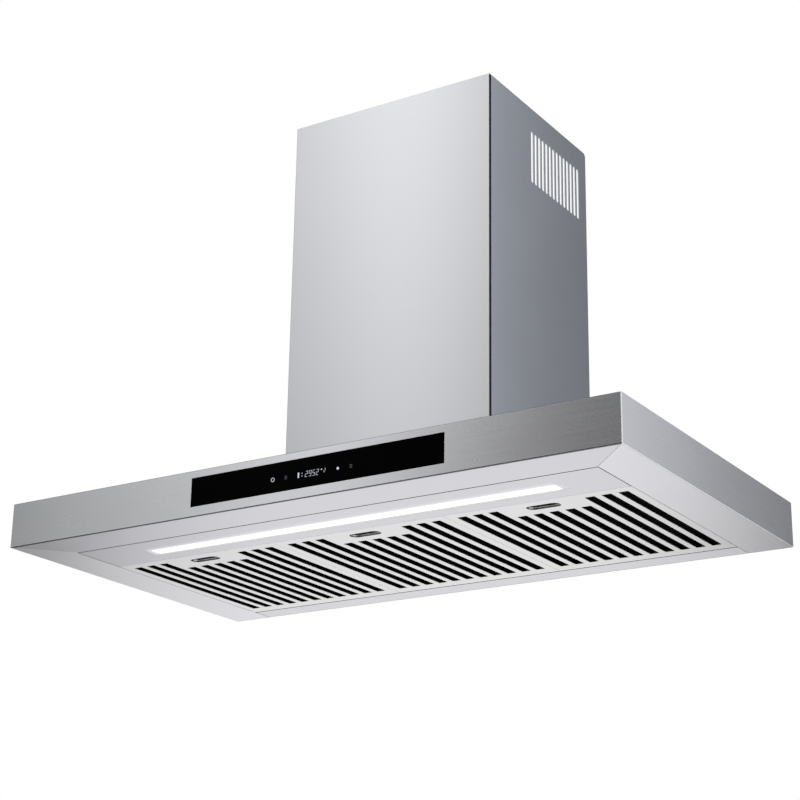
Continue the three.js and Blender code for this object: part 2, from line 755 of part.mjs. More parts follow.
// Section of a box wall with its lower edge turned outwards, from the wall's inner face.
function footedSection(inner, out, top) {
  const outer = inner + out * SHEET;
  const toe = outer + out * BOX_FOOT;
  return outline([
    [inner, roofSeat],
    [toe, roofSeat],
    [toe, roofSeat + SHEET],
    [outer, roofSeat + SHEET],
    [outer, top],
    [inner, top],
  ]);
}

const boxFront = () => prismX(footedSection(boxFrontY + SHEET, -1, boxTop), -boxHalf, boxHalf);

function boxSide(side) {
  const section = footedSection(side * (boxHalf - SHEET), side, boxTop);
  return prismY(section, boxFrontY + SHEET + SEAT, boxBackY);
}

const glandX = boxHalf - GLAND_INSET;
const glandY = boxBackY - GLAND_INSET;

function boxTopPlate() {
  const plate = block(-boxHalf, boxHalf, boxFrontY, boxBackY, boxTop + SEAT, plateTop);
  const low = boxTop - SHEET;
  return cut(
    plate,
    prismZ(disc(0, collarY, collarInner), low, plateTop + SHEET, COLLAR_FACETS),
    prismZ(disc(glandX, glandY, GLAND_BORE), low, plateTop + SHEET, GLAND_FACETS),
  );
}

// Rear wall of the blower box; it stands above the box to carry the two keyholes.
function wallPlate() {
  const top = plateTop + WALL_PLATE_RISE;
  const plate = block(-boxHalf, boxHalf, wallY - WALL_PLATE, wallY, roofSeat, top);
  const holeZ = top - KEYHOLE_DROP;
  const keyhole = (x) => {
    const shape = new THREE.Shape();
    const shoulder = Math.asin(KEYHOLE_SLOT / 2 / KEYHOLE_RADIUS);
    const start = Math.PI / 2 + shoulder;
    shape.absarc(x, holeZ, KEYHOLE_RADIUS, start, start + 2 * Math.PI - 2 * shoulder, false);
    shape.absarc(x, holeZ + KEYHOLE_RISE - KEYHOLE_SLOT / 2, KEYHOLE_SLOT / 2, 0, Math.PI, false);
    return prismY(shape, wallY - 2 * WALL_PLATE, wallY + WALL_PLATE, GLAND_FACETS);
  };
  return cut(plate, keyhole(-KEYHOLE_X), keyhole(KEYHOLE_X));
}

// ---------------------------------------------------------------- scroll, impeller and motor

// Side outline of the scroll about the fan's axis: the straight front wall, the spiral from the
// front round below and behind to the tongue, and the neck that widens to the outlet.
function scrollOutline(grow, top) {
  const front = -scrollRadius(scrollEnd) - grow;
  const spiral = Array.from({ length: SPIRAL_STEPS + 1 }, (_, i) => {
    const travel = scrollEnd * (1 - i / SPIRAL_STEPS);
    const r = scrollRadius(travel) + grow;
    const angle = TONGUE_ANGLE - travel;
    return [r * Math.cos(angle), r * Math.sin(angle)];
  });
  const neckRear = collarY + collarInner - fanY + grow;
  const points = [[front, top], ...spiral, [neckRear, top]];
  return outline(points.map(([y, z]) => [y + fanY, z + fanZ]));
}

function volute() {
  const top = boxTop - fanZ - SEAT;
  const inside = voluteHalf - VOLUTE_WALL;
  const lipEnd = voluteHalf + INLET_LIP;
  const noseRadius = scrollBase + TONGUE_RADIUS;
  const nose = disc(
    fanY + noseRadius * Math.cos(TONGUE_ANGLE),
    fanZ + noseRadius * Math.sin(TONGUE_ANGLE),
    TONGUE_RADIUS,
  );
  const lip = disc(fanY, fanZ, bladeRoot + INLET_LIP_WALL);
  const outer = join(
    prismX(scrollOutline(VOLUTE_WALL, top), -voluteHalf, voluteHalf),
    prismX(lip, -lipEnd, -inside - VOLUTE_WALL / 2, WHEEL_FACETS),
    prismX(lip, inside + VOLUTE_WALL / 2, lipEnd, WHEEL_FACETS),
  );
  const shell = cut(
    outer,
    prismX(scrollOutline(0, top + VOLUTE_WALL), -inside, inside),
    prismX(disc(fanY, fanZ, bladeRoot), -2 * lipEnd, 2 * lipEnd, WHEEL_FACETS),
  );
  return join(shell, prismX(nose, -inside - VOLUTE_WALL / 2, inside + VOLUTE_WALL / 2, HOLE_FACETS));
}

// Forward-curved blade section at one angle round the wheel.
function bladeOutline(angle) {
  const flank = (side) =>
    Array.from({ length: BLADE_STEPS + 1 }, (_, i) => {
      const t = i / BLADE_STEPS;
      const r = bladeRoot + BLADE_INSET + (BLADE_CHORD - 2 * BLADE_INSET) * t;
      const a = angle - BLADE_SWEEP * t * t + (side * BLADE_THICKNESS) / (2 * r);
      return [fanY + r * Math.cos(a), fanZ + r * Math.sin(a)];
    });
  return outline([...flank(-1), ...flank(1).reverse()]);
}

// Double-inlet wheel: a centre disc with blades on both sides, a ring at each end and a hub.
function impeller() {
  const half = IMPELLER_WIDTH / 2;
  const blades = Array.from({ length: BLADE_COUNT }, (_, i) =>
    prismX(bladeOutline((2 * Math.PI * i) / BLADE_COUNT), -half + RING / 2, half - RING / 2),
  );
  const endRing = ring(fanY, fanZ, impellerRadius, bladeRoot);
  const wheel = join(
    prismX(disc(fanY, fanZ, impellerRadius - DISC_RIM), -RING / 2, RING / 2, WHEEL_FACETS),
    prismX(endRing, -half, -half + RING, WHEEL_FACETS),
    prismX(endRing, half - RING, half, WHEEL_FACETS),
    prismX(disc(fanY, fanZ, HUB_RADIUS), -HUB_LENGTH / 2, HUB_LENGTH / 2, HOLE_FACETS),
    ...blades,
  );
  const bore = disc(fanY, fanZ, SHAFT_RADIUS + SEAT);
  return cut(wheel, prismX(bore, -HUB_LENGTH, HUB_LENGTH, PIN_FACETS));
}

const motorFrontX = HUB_LENGTH / 2 + 2 * SEAT; // nose of the bearing boss
const motorBackX = bracketX - SEAT;
const shaftEndX = (motorFrontX + motorBackX) / 2;

const motorShaft = () =>
  prismX(disc(fanY, fanZ, SHAFT_RADIUS), -HUB_LENGTH / 2 - SHAFT_RADIUS, shaftEndX, PIN_FACETS);

// A turned profile of [radius, distance along X] carried onto the fan's axis.
function turnedOnFanAxis(profile, facets) {
  const points = [...profile, profile[0]].map(([r, x]) => new THREE.Vector2(r, x));
  const geometry = new THREE.LatheGeometry(points, 2 * facets).rotateZ(-Math.PI / 2);
  return solid(geometry.translate(0, fanY, fanZ));
}

function motorBody() {
  const shoulder = motorFrontX + BOSS_LENGTH;
  const bore = SHAFT_RADIUS + SEAT;
  const boreEnd = shaftEndX + SEAT;
  return turnedOnFanAxis(
    [
      [0, boreEnd],
      [bore, boreEnd],
      [bore, motorFrontX],
      [BOSS_RADIUS, motorFrontX],
      [BOSS_RADIUS, shoulder],
      [MOTOR_RADIUS - MOTOR_BELL, shoulder],
      [MOTOR_RADIUS, shoulder + MOTOR_BELL],
      [MOTOR_RADIUS, motorBackX - MOTOR_BELL],
      [MOTOR_RADIUS - MOTOR_BELL, motorBackX],
      [0, motorBackX],
    ],
    CASE_FACETS,
  );
}

// Three-armed spider on the right inlet lip, carrying the motor from behind.
function motorBracket() {
  const inner = bladeRoot + INLET_LIP_WALL / 2 - BRACKET_RING / 2;
  const hub = MOTOR_RADIUS - MOTOR_BELL;
  const spider = ring(fanY, fanZ, inner + BRACKET_RING, BOSS_RADIUS);
  for (let i = 0; i < BRACKET_ARMS; i += 1) {
    const from = Math.PI / 2 + (2 * Math.PI * i) / BRACKET_ARMS;
    const to = from + (2 * Math.PI) / BRACKET_ARMS;
    const armAt = (radius) => Math.asin(BRACKET_ARM / 2 / radius);
    const window = new THREE.Path();
    window.absarc(fanY, fanZ, inner, from + armAt(inner), to - armAt(inner), false);
    window.absarc(fanY, fanZ, hub, to - armAt(hub), from + armAt(hub), true);
    spider.holes.push(window);
  }
  return prismX(spider, bracketX, bracketX + BRACKET, GLAND_FACETS);
}

function runCapacitor() {
  const x = boxHalf - SHEET - SEAT - CAPACITOR_RADIUS;
  const y = boxBackY - CORNER_SPACE - CAPACITOR_RADIUS;
  const z1 = boxTop - CAPACITOR_DROP;
  const z0 = z1 - CAPACITOR_LENGTH;
  const can = turned(
    [
      [0, z0],
      [CAPACITOR_RADIUS - CAPACITOR_CHAMFER, z0],
      [CAPACITOR_RADIUS, z0 + CAPACITOR_CHAMFER],
      [CAPACITOR_RADIUS, z1 - CAPACITOR_CHAMFER],
      [CAPACITOR_RADIUS - CAPACITOR_CHAMFER, z1],
      [0, z1],
    ],
    CASE_FACETS,
  );
  return can.translate([x, y, 0]);
}

// Wiring enclosure on the left wall, with a lid that laps its body.
function terminalBox() {
  const x0 = -boxHalf + SHEET + SEAT;
  const x1 = x0 + TERMINAL_WIDTH;
  const y1 = boxBackY - CORNER_SPACE;
  const y0 = y1 - TERMINAL_DEPTH;
  const z1 = boxTop - CORNER_SPACE;
  const z0 = z1 - TERMINAL_HEIGHT;
  return join(
    block(x0, x1, y0 + SHEET, y1 - SHEET, z0 + SHEET, z1 - SHEET),
    block(x1 - TERMINAL_LID, x1, y0, y1, z0, z1),
  );
}

// Strain-relief gland for the supply cable: a hexagonal nut under a tapered clamping dome.
function cableGland() {
  const z0 = plateTop + SEAT;
  const top = z0 + GLAND_HEIGHT;
  const dome = turned(
    [
      [GLAND_BORE, z0 + GLAND_NUT / 2],
      [GLAND_RADIUS, z0 + GLAND_NUT / 2],
      [GLAND_RADIUS, top - GLAND_NUT],
      [GLAND_RADIUS - GLAND_TAPER, top - GLAND_TAPER / 2],
      [GLAND_BORE + GLAND_TAPER / 2, top],
      [GLAND_BORE, top],
    ],
    GLAND_FACETS,
  );
  const corners = Array.from({ length: 6 }, (_, i) => {
    const angle = (i * Math.PI) / 3;
    return [GLAND_NUT_RADIUS * Math.cos(angle), GLAND_NUT_RADIUS * Math.sin(angle)];
  });
  const nut = outline(corners);
  nut.holes.push(disc(0, 0, GLAND_BORE + SEAT));
  return join(dome, prismZ(nut, z0, z0 + GLAND_NUT, GLAND_FACETS)).translate([glandX, glandY, 0]);
}

// ---------------------------------------------------------------- outlet and damper

function outletCollar() {
  const z0 = collarFloor;
  const stop = z0 + STOP_HEIGHT;
  const top = z0 + COLLAR_HEIGHT;
  const tube = turned(
    [
      [collarInner, z0],
      [collarFlange, z0],
      [collarFlange, z0 + SHEET],
      [collarRadius, z0 + SHEET],
      [collarRadius, top],
      [collarInner, top],
      [collarInner, stop + STOP_SHEET],
      [collarInner - STOP_RING, stop + STOP_SHEET],
      [collarInner - STOP_RING, stop],
      [collarInner, stop],
    ],
    COLLAR_FACETS,
  );
  const axleHole = prismX(disc(0, axleZ, AXLE_RADIUS + SEAT), -collarFlange, collarFlange, PIN_FACETS);
  return cut(tube, axleHole).translate([0, collarY, 0]);
}

// Pin across the collar, its ends in holes in the collar's wall.
function damperAxle() {
  return prismX(disc(collarY, axleZ, AXLE_RADIUS), -collarRadius, collarRadius, PIN_FACETS);
}

// Half-disc flap on knuckles that alternate with the other flap's along the shared axle.
function damperFlap(side) {
  const clear = knuckleRadius + SEAT;
  const hook = AXLE_RADIUS + SEAT + KNUCKLE_WALL / 2;
  const half = KNUCKLE_LENGTH / 2;
  const knuckleXs = KNUCKLE_PLACES.map((place) => place * KNUCKLE_PITCH);
  const edge = knuckleXs.flatMap((x) => [
    [x - half, clear],
    [x - half, hook],
    [x + half, hook],
    [x + half, clear],
  ]);
  const blade = outline(edge);
  const reach = Math.asin(clear / flapRadius);
  blade.absarc(0, 0, flapRadius, reach, Math.PI - reach, false);
  const z0 = axleZ - FLAP_SHEET / 2;
  const knuckles = knuckleXs.map((x) =>
    prismX(ring(0, axleZ, knuckleRadius, AXLE_RADIUS + SEAT), x - half, x + half, HOLE_FACETS),
  );
  const flap = join(prismZ(blade, z0, z0 + FLAP_SHEET, CASE_FACETS), ...knuckles);
  const turn = side > 0 ? 0 : 180;
  return flap.rotate([0, 0, turn]).translate([0, collarY, 0]);
}

// ---------------------------------------------------------------- chimney cover

// Cutters for the row of ventilation slots in one side wall, under a section's top edge.
function ventCutters(side, x, sectionTop) {
  const high = sectionTop - VENT_TOP;
  const reach = 3 * COVER_SHEET;
  return Array.from({ length: VENT_COUNT }, (_, i) =>
    prismX(
      roundSlot(wallY - VENT_REAR - i * VENT_PITCH, high - VENT_LENGTH, high, VENT_WIDTH),
      side * x - reach,
      side * x + reach,
      SLOT_FACETS,
    ),
  );
}

const chimneyFront = () =>
  block(
    -CHIMNEY_WIDTH / 2,
    CHIMNEY_WIDTH / 2,
    chimneyFrontY,
    chimneyFrontY + COVER_SHEET,
    roofSeat,
    CHIMNEY_TOP,
  );

// Side panel: a channel whose front edge backs the front panel and whose rear edge meets the wall.
function chimneySide(side) {
  const outer = side * (CHIMNEY_WIDTH / 2);
  const inner = outer - side * COVER_SHEET;
  const turnedIn = outer - side * COVER_FLANGE;
  const plan = outline([
    [outer, sideFrontY],
    [outer, wallY],
    [turnedIn, wallY],
    [turnedIn, wallY - COVER_SHEET],
    [inner, wallY - COVER_SHEET],
    [inner, sideFrontY + COVER_SHEET],
    [turnedIn, sideFrontY + COVER_SHEET],
    [turnedIn, sideFrontY],
  ]);
  const channel = prismZ(plan, roofSeat, CHIMNEY_TOP);
  const cornerCut = prismX(
    outline([
      [wallY - TOP_CORNER_CUT, CHIMNEY_TOP + SHEET],
      [wallY - TOP_CORNER_CUT, CHIMNEY_TOP],
      [wallY, CHIMNEY_TOP - TOP_CORNER_CUT],
      [wallY + SHEET, CHIMNEY_TOP - TOP_CORNER_CUT],
      [wallY + SHEET, CHIMNEY_TOP + SHEET],
    ]),
    -CHIMNEY_WIDTH,
    CHIMNEY_WIDTH,
  );
  return cut(channel, cornerCut, ...ventCutters(side, CHIMNEY_WIDTH / 2, CHIMNEY_TOP));
}

// Telescoping section: one folded sheet, open to the wall, with its own row of slots.
function chimneyInner() {
  const wall = COVER_SHEET;
  const lip = COVER_FLANGE;
  const right = [
    [slideHalf, slideFrontY],
    [slideHalf, slideBackY],
    [slideHalf - lip, slideBackY],
    [slideHalf - lip, slideBackY - wall],
    [slideHalf - wall, slideBackY - wall],
    [slideHalf - wall, slideFrontY + wall],
  ];
  const left = right.map(([x, y]) => [-x, y]).reverse();
  const sleeve = prismZ(outline([...right, ...left]), innerFloor, innerTop);
  const vents = [-1, 1].flatMap((side) => ventCutters(side, slideHalf, innerTop));
  return cut(sleeve, ...vents);
}

// Angle on the canopy top that locates the outer cover and stops the inner one.
function chimneyFoot(side) {
  const outer = side * (CHIMNEY_WIDTH / 2 - COVER_SHEET - SEAT);
  const inner = side * (boxHalf + BOX_FOOT + SEAT);
  const section = outline([
    [inner, roofSeat],
    [outer, roofSeat],
    [outer, roofSeat + FOOT_HEIGHT],
    [outer - side * SHEET, roofSeat + FOOT_HEIGHT],
    [outer - side * SHEET, roofSeat + SHEET],
    [inner, roofSeat + SHEET],
  ]);
  return prismY(section, sideFrontY + FOOT_INSET, wallY - FOOT_INSET);
}

// ---------------------------------------------------------------- the model

const hood = new THREE.Group();
hood.name = 'range_hood';

function finish(color, roughness, metalness) {
  return new THREE.MeshStandardMaterial({ color, roughness, metalness });
}

const brushed = () => finish(0xb9b9bf, 0.38, 1);
const satin = () => finish(0xd6d5dc, 0.32, 1);
const galvanised = () => finish(0xa9adb0, 0.5, 1);
const plastic = (color) => finish(color, 0.6, 0);

function add(parent, name, body, material) {
  const mesh = new THREE.Mesh(geometryOf(body), material);
  mesh.name = name;
  parent.add(mesh);
}

add(hood, 'front_fascia', frontFascia(), brushed());
add(hood, 'left_side_panel', sidePanel(-1), brushed());
add(hood, 'right_side_panel', sidePanel(1), brushed());
add(hood, 'top_panel', topPanel(), brushed());
add(hood, 'back_panel', backPanel(), galvanised());
add(hood, 'front_rim', frontRim(), satin());
add(hood, 'left_rim', sideRim(-1), satin());
add(hood, 'right_rim', sideRim(1), satin());
add(hood, 'rear_rail', rearRail(), satin());

add(hood, 'light_panel', lightPanel(), satin());
add(hood, 'led_bezel', ledBezel(), finish(0xdcdce2, 0.4, 0.6));
add(hood, 'led_diffuser', ledDiffuser(), finish(0xffffff, 0.3, 0));
add(hood, 'led_channel', ledChannel(), finish(0xc8c8cc, 0.45, 1));
add(hood, 'led_board', ledBoard(), plastic(0xf2f2ee));
add(hood, 'led_driver', ledDriver(), plastic(0xe8e8e4));

add(hood, 'control_glass', controlGlass(), finish(0x050506, 0.06, 0));
add(hood, 'control_tray', controlTray(), plastic(0x1c1c1e));
add(hood, 'control_board', controlBoard(), plastic(0x1d5a34));

FILTER_PLACES.forEach((place, i) => {
  const filter = new THREE.Group();
  filter.position.x = (i - (FILTER_PLACES.length - 1) / 2) * filterPitch;
  hood.add(filter);
  add(filter, `filter_${place}_tray`, filterTray(), satin());
  add(filter, `filter_${place}_baffles`, filterBaffles(), finish(0x8d8d92, 0.4, 1));
  add(filter, `filter_${place}_latch`, filterLatch(), satin());
});

add(hood, 'blower_box_front', boxFront(), galvanised());
add(hood, 'blower_box_left', boxSide(-1), galvanised());
add(hood, 'blower_box_right', boxSide(1), galvanised());
add(hood, 'blower_box_top', boxTopPlate(), galvanised());
add(hood, 'wall_plate', wallPlate(), galvanised());

add(hood, 'scroll_housing', volute(), plastic(0x2b2d30));
add(hood, 'impeller', impeller(), finish(0x8e9296, 0.55, 0.8));
add(hood, 'motor_shaft', motorShaft(), finish(0xc4c6c8, 0.25, 1));
add(hood, 'motor_body', motorBody(), finish(0x9b9ea1, 0.45, 1));
add(hood, 'motor_bracket', motorBracket(), galvanised());
add(hood, 'run_capacitor', runCapacitor(), plastic(0xdedfe0));
add(hood, 'terminal_box', terminalBox(), plastic(0x3a3c3e));
add(hood, 'cable_gland', cableGland(), plastic(0x151515));

add(hood, 'outlet_collar', outletCollar(), galvanised());
add(hood, 'damper_axle', damperAxle(), finish(0xc4c6c8, 0.25, 1));
add(hood, 'damper_flap_front', damperFlap(-1), galvanised());
add(hood, 'damper_flap_rear', damperFlap(1), galvanised());

add(hood, 'chimney_front', chimneyFront(), brushed());
add(hood, 'chimney_left', chimneySide(-1), brushed());
add(hood, 'chimney_right', chimneySide(1), brushed());
add(hood, 'chimney_inner', chimneyInner(), brushed());
add(hood, 'chimney_foot_left', chimneyFoot(-1), galvanised());
add(hood, 'chimney_foot_right', chimneyFoot(1), galvanised());

export default hood;
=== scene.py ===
import json
import math

import bmesh
import bpy
from mathutils import Matrix, Vector

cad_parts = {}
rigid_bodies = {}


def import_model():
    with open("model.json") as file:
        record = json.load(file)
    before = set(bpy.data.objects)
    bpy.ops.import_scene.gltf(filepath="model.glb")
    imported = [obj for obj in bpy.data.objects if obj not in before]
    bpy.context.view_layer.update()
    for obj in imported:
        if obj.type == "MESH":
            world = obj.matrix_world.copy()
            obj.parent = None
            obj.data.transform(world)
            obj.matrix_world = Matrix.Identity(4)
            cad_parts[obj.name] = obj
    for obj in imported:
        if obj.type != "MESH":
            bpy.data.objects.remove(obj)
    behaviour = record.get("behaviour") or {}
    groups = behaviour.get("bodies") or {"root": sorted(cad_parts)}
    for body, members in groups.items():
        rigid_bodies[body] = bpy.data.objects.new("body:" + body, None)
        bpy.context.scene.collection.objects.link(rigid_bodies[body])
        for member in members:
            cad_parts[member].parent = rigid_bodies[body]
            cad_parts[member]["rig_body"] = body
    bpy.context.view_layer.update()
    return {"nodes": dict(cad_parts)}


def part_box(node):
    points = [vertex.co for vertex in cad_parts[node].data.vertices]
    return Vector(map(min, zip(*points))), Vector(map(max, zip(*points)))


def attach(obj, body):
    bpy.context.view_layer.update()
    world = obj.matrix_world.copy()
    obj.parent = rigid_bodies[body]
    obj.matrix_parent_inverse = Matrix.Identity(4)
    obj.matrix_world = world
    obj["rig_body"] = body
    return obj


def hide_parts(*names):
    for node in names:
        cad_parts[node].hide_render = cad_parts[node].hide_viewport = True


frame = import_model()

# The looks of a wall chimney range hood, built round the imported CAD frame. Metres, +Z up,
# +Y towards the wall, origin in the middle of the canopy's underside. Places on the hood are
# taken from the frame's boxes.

MM = 0.001
AXES = {"x": Vector((1, 0, 0)), "y": Vector((0, 1, 0)), "z": Vector((0, 0, 1))}
PLACES = ("left", "middle", "right")

# ------------------------------------------------------------------ new objects


def link(name, data):
    thing = bpy.data.objects.new(name, data)
    bpy.context.scene.collection.objects.link(thing)
    return thing


def solid(name, bm):
    """A new object that takes over the mesh built in bm."""
    mesh = bpy.data.meshes.new(name)
    bm.to_mesh(mesh)
    bm.free()
    return link(name, mesh)


def one_face(name, corners):
    """A new object of one four-cornered face."""
    mesh = bpy.data.meshes.new(name)
    mesh.from_pydata(corners, [], [(0, 1, 2, 3)])
    return link(name, mesh)


# ------------------------------------------------------------------ camera

CAMERA_PLACE = Vector((1.3068, -2.0321, -0.6463))
CAMERA_RIGHT = Vector((0.84407, 0.53602, 0.01488))
CAMERA_UP = Vector((0.16639, -0.28820, 0.94300))
LENS = 85.55
SENSOR = 36


def make_camera():
    data = bpy.data.cameras.new("camera")
    data.lens = LENS
    data.sensor_width = SENSOR
    camera = link("camera", data)
    right = CAMERA_RIGHT.normalized()
    back = right.cross(CAMERA_UP).normalized()
    up = back.cross(right)
    turn = Matrix((right, up, back)).transposed().to_4x4()
    camera.matrix_world = Matrix.Translation(CAMERA_PLACE) @ turn
    bpy.context.scene.camera = camera


# ------------------------------------------------------------------ node helpers

# Nearly all of a noise lies between these
NOISE_LOW, NOISE_HIGH = 0.3, 0.7

# The Mix node has a socket of each name for every data type; these are its colour sockets
MIX_COLOR_A, MIX_COLOR_B, MIX_COLOR_RESULT = 6, 7, 2


class Nodes:
    """A material's or world's node tree, with short calls to add and link nodes."""

    def __init__(self, owner):
        owner.use_nodes = True
        self.tree = owner.node_tree
        self.tree.nodes.clear()

    def add(self, kind, settings=(), **inputs):
        node = self.tree.nodes.new("ShaderNode" + kind)
        for name, value in dict(settings).items():
            setattr(node, name, value)
        for name, value in inputs.items():
            self.put(node.inputs[name.replace("_", " ")], value)
        return node

    def put(self, socket, value):
        if isinstance(value, bpy.types.NodeSocket):
            self.tree.links.new(value, socket)
        else:
            socket.default_value = value

    def math(self, operation, *values):
        node = self.add("Math", {"operation": operation})
        for socket, value in zip(node.inputs, values):
            self.put(socket, value)
        return node.outputs[0]

    def noise(self, vector, scale, detail=3.0):
        node = self.add("TexNoise", Vector=vector, Scale=scale, Detail=detail, Roughness=0.55)
        return node.outputs["Fac"]

    def stretched(self, vector, along, across, grain):
        """Coordinates for a texture drawn out along one axis, in cycles to the metre."""
        scale = [along if axis == grain else across for axis in "xyz"]
        return self.add("Mapping", Vector=vector, Scale=scale).outputs[0]

    def ramp(self, value, low, high, to_low, to_high):
        """The range low to high taken to the range to_low to to_high; values past it are held."""
        ends = {"From Min": low, "From Max": high, "To Min": to_low, "To Max": to_high}
        node = self.add("MapRange", Value=value)
        for name, number in ends.items():
            node.inputs[name].default_value = number
        return node.outputs[0]

    def spread(self, noise, middle, reach):
        """A noise turned into a number that varies by reach either way about a middle."""
        return self.ramp(noise, NOISE_LOW, NOISE_HIGH, middle - reach, middle + reach)

    def inside(self, place, low, high):
        """1 inside a box, 0 outside."""
        split = self.add("SeparateXYZ", Vector=place).outputs
        result = 1.0
        for value, start, end in zip(split, low, high):
            above = self.math("GREATER_THAN", value, start)
            below = self.math("LESS_THAN", value, end)
            result = self.math("MULTIPLY", result, self.math("MULTIPLY", above, below))
        return result

    def profile(self, value, stops):
        """A smooth curve through (value, level) stops."""
        low, high = stops[0][0], stops[-1][0]
        top = max(level for _, level in stops)
        node = self.add("ValToRGB", Fac=self.ramp(value, low, high, 0.0, 1.0))
        elements = node.color_ramp.elements
        node.color_ramp.interpolation = "B_SPLINE"
        while len(elements) < len(stops):
            elements.new(0.5)
        for element, (place, level) in zip(elements, stops):
            element.position = (place - low) / (high - low)
            element.color = (level / top, level / top, level / top, 1)
        return self.math("MULTIPLY", node.outputs[0], top)

    def tint(self, color, factor):
        """A colour times a varying grey."""
        node = self.add("Mix", {"data_type": "RGBA", "blend_type": "MULTIPLY"})
        node.inputs["Factor"].default_value = 1.0
        self.put(node.inputs[MIX_COLOR_A], (*color, 1))
        self.put(node.inputs[MIX_COLOR_B], factor)
        return node.outputs[MIX_COLOR_RESULT]

    def blend(self, factor, first, second):
        """Mixes the outputs of two shader nodes."""
        node = self.add("MixShader", Fac=factor)
        self.tree.links.new(first.outputs[0], node.inputs[1])
        self.tree.links.new(second.outputs[0], node.inputs[2])
        return node


def new_material(name):
    """Gives a material, its nodes and the place on the object that its textures start from."""
    material = bpy.data.materials.new(name)
    n = Nodes(material)
    return material, n, n.add("TexCoord").outputs["Object"]


def finish_surface(nodes, shader):
    output = nodes.add("OutputMaterial")
    nodes.tree.links.new(shader.outputs[0], output.inputs[0])


# How far the rounded normal agrees with the face's own, on a flat and on a sharp edge
FLAT_AGREES, EDGE_AGREES = 0.995, 0.85


def edge_mask(nodes, radius):
    """Gives a value that is 1 on sharp edges and 0 on flats, and the rounded normal."""
    rounded = nodes.add("Bevel", {"samples": 4}, Radius=radius).outputs[0]
    flat = nodes.add("NewGeometry").outputs["True Normal"]
    dot = nodes.add("VectorMath", {"operation": "DOT_PRODUCT"})
    nodes.put(dot.inputs[0], rounded)
    nodes.put(dot.inputs[1], flat)
    return nodes.ramp(dot.outputs["Value"], FLAT_AGREES, EDGE_AGREES, 0.0, 1.0), rounded


# ------------------------------------------------------------------ materials

# Painted shade: inside a shade box the metal's colour is drawn down to this share
IN_SHADE = 0.02  # how much of its colour metal keeps in deep shade


def steel(name, color, grain, roughness, streak=0.02, fine=0.035, mottle=0.02, wander=0.03,
          relief=0.08, anisotropy=0.6, glow=None, shade=None):
    """Brushed sheet: streaks and fine scratches along the grain, soft mottling, and sharp edges
    drawn lighter, partly rubbed wear and partly a painted highlight. streak, fine and mottle are
    how far each varies the tone, wander is how far the roughness varies and relief the depth of the
    scratches. glow is a function that gives the light the metal sends out, a painted glow. shade
    is a box, given by two corners, inside which shade is painted: the metal there is drawn dark."""
    material, n, place = new_material(name)
    scratches = n.noise(n.stretched(place, 32, 2200, grain), 1.0, 2.0)
    streaks = n.noise(n.stretched(place, 9, 700, grain), 1.0, 3.0)
    cloud = n.noise(place, 6.0, 2.0)
    edge, rounded = edge_mask(n, 0.6 * MM)
    tone = n.math("ADD", n.spread(scratches, 1, fine), n.spread(streaks, 0, streak))
    tone = n.math("ADD", tone, n.spread(cloud, 0, mottle))
    # Sharp edges drawn up to 0.3 lighter: partly rubbed wear, partly a painted highlight
    tone = n.math("ADD", tone, n.ramp(edge, 0, 1, 0, 0.3))
    # Painted shade: inside the shade box the colour falls to IN_SHADE of itself
    if shade:
        tone = n.math("MULTIPLY", tone, n.ramp(n.inside(place, *shade), 0, 1, 1.0, IN_SHADE))
    rough = n.math("ADD", n.spread(streaks, roughness, wander), n.spread(cloud, 0, wander))
    bump = n.add("Bump", Height=scratches, Normal=rounded, Strength=relief, Distance=0.05 * MM)
    tangent = n.add("CombineXYZ", X=AXES[grain].x, Y=AXES[grain].y, Z=AXES[grain].z).outputs[0]
    turn = {"vector_type": "VECTOR", "convert_from": "OBJECT", "convert_to": "WORLD"}
    shader = n.add(
        "BsdfPrincipled",
        Metallic=1.0,
        Anisotropic=anisotropy,
        Anisotropic_Rotation=0.25,
        Base_Color=n.tint(color, tone),
        Roughness=rough,
        Normal=bump.outputs[0],
        Tangent=n.add("VectorTransform", turn, Vector=tangent).outputs[0],
    )
    if glow:
        n.put(shader.inputs["Emission Strength"], glow(n, place))
        shader.inputs["Emission Color"].default_value = (1, 1, 1, 1)
    finish_surface(n, shader)
    return material


def galvanised(name, color, roughness=0.42):
    """Zinc-coated sheet with soft crystals."""
    material, n, place = new_material(name)
    crystals = n.add("TexVoronoi", {"feature": "F1"}, Vector=place, Scale=55.0)
    spangle = n.add("SeparateColor", Color=crystals.outputs["Color"]).outputs[0]
    cloud = n.noise(place, 14.0)
    edge, rounded = edge_mask(n, 0.6 * MM)
    tone = n.math("ADD", n.ramp(spangle, 0, 1, 0.86, 1.08), n.spread(cloud, 0, 0.07))
    # Sharp edges drawn up to 0.15 lighter: partly rubbed wear, partly a painted highlight
    tone = n.math("ADD", tone, n.ramp(edge, 0, 1, 0, 0.15))
    crystal_rough = n.ramp(spangle, 0, 1, roughness - 0.08, roughness + 0.08)
    rough = n.math("ADD", crystal_rough, n.spread(cloud, 0, 0.05))
    bump = n.add("Bump", Height=cloud, Normal=rounded, Strength=0.1, Distance=0.2 * MM).outputs[0]
    shader = n.add("BsdfPrincipled", Base_Color=n.tint(color, tone), Roughness=rough, Normal=bump)
    shader.inputs["Metallic"].default_value = 1.0
    finish_surface(n, shader)
    return material


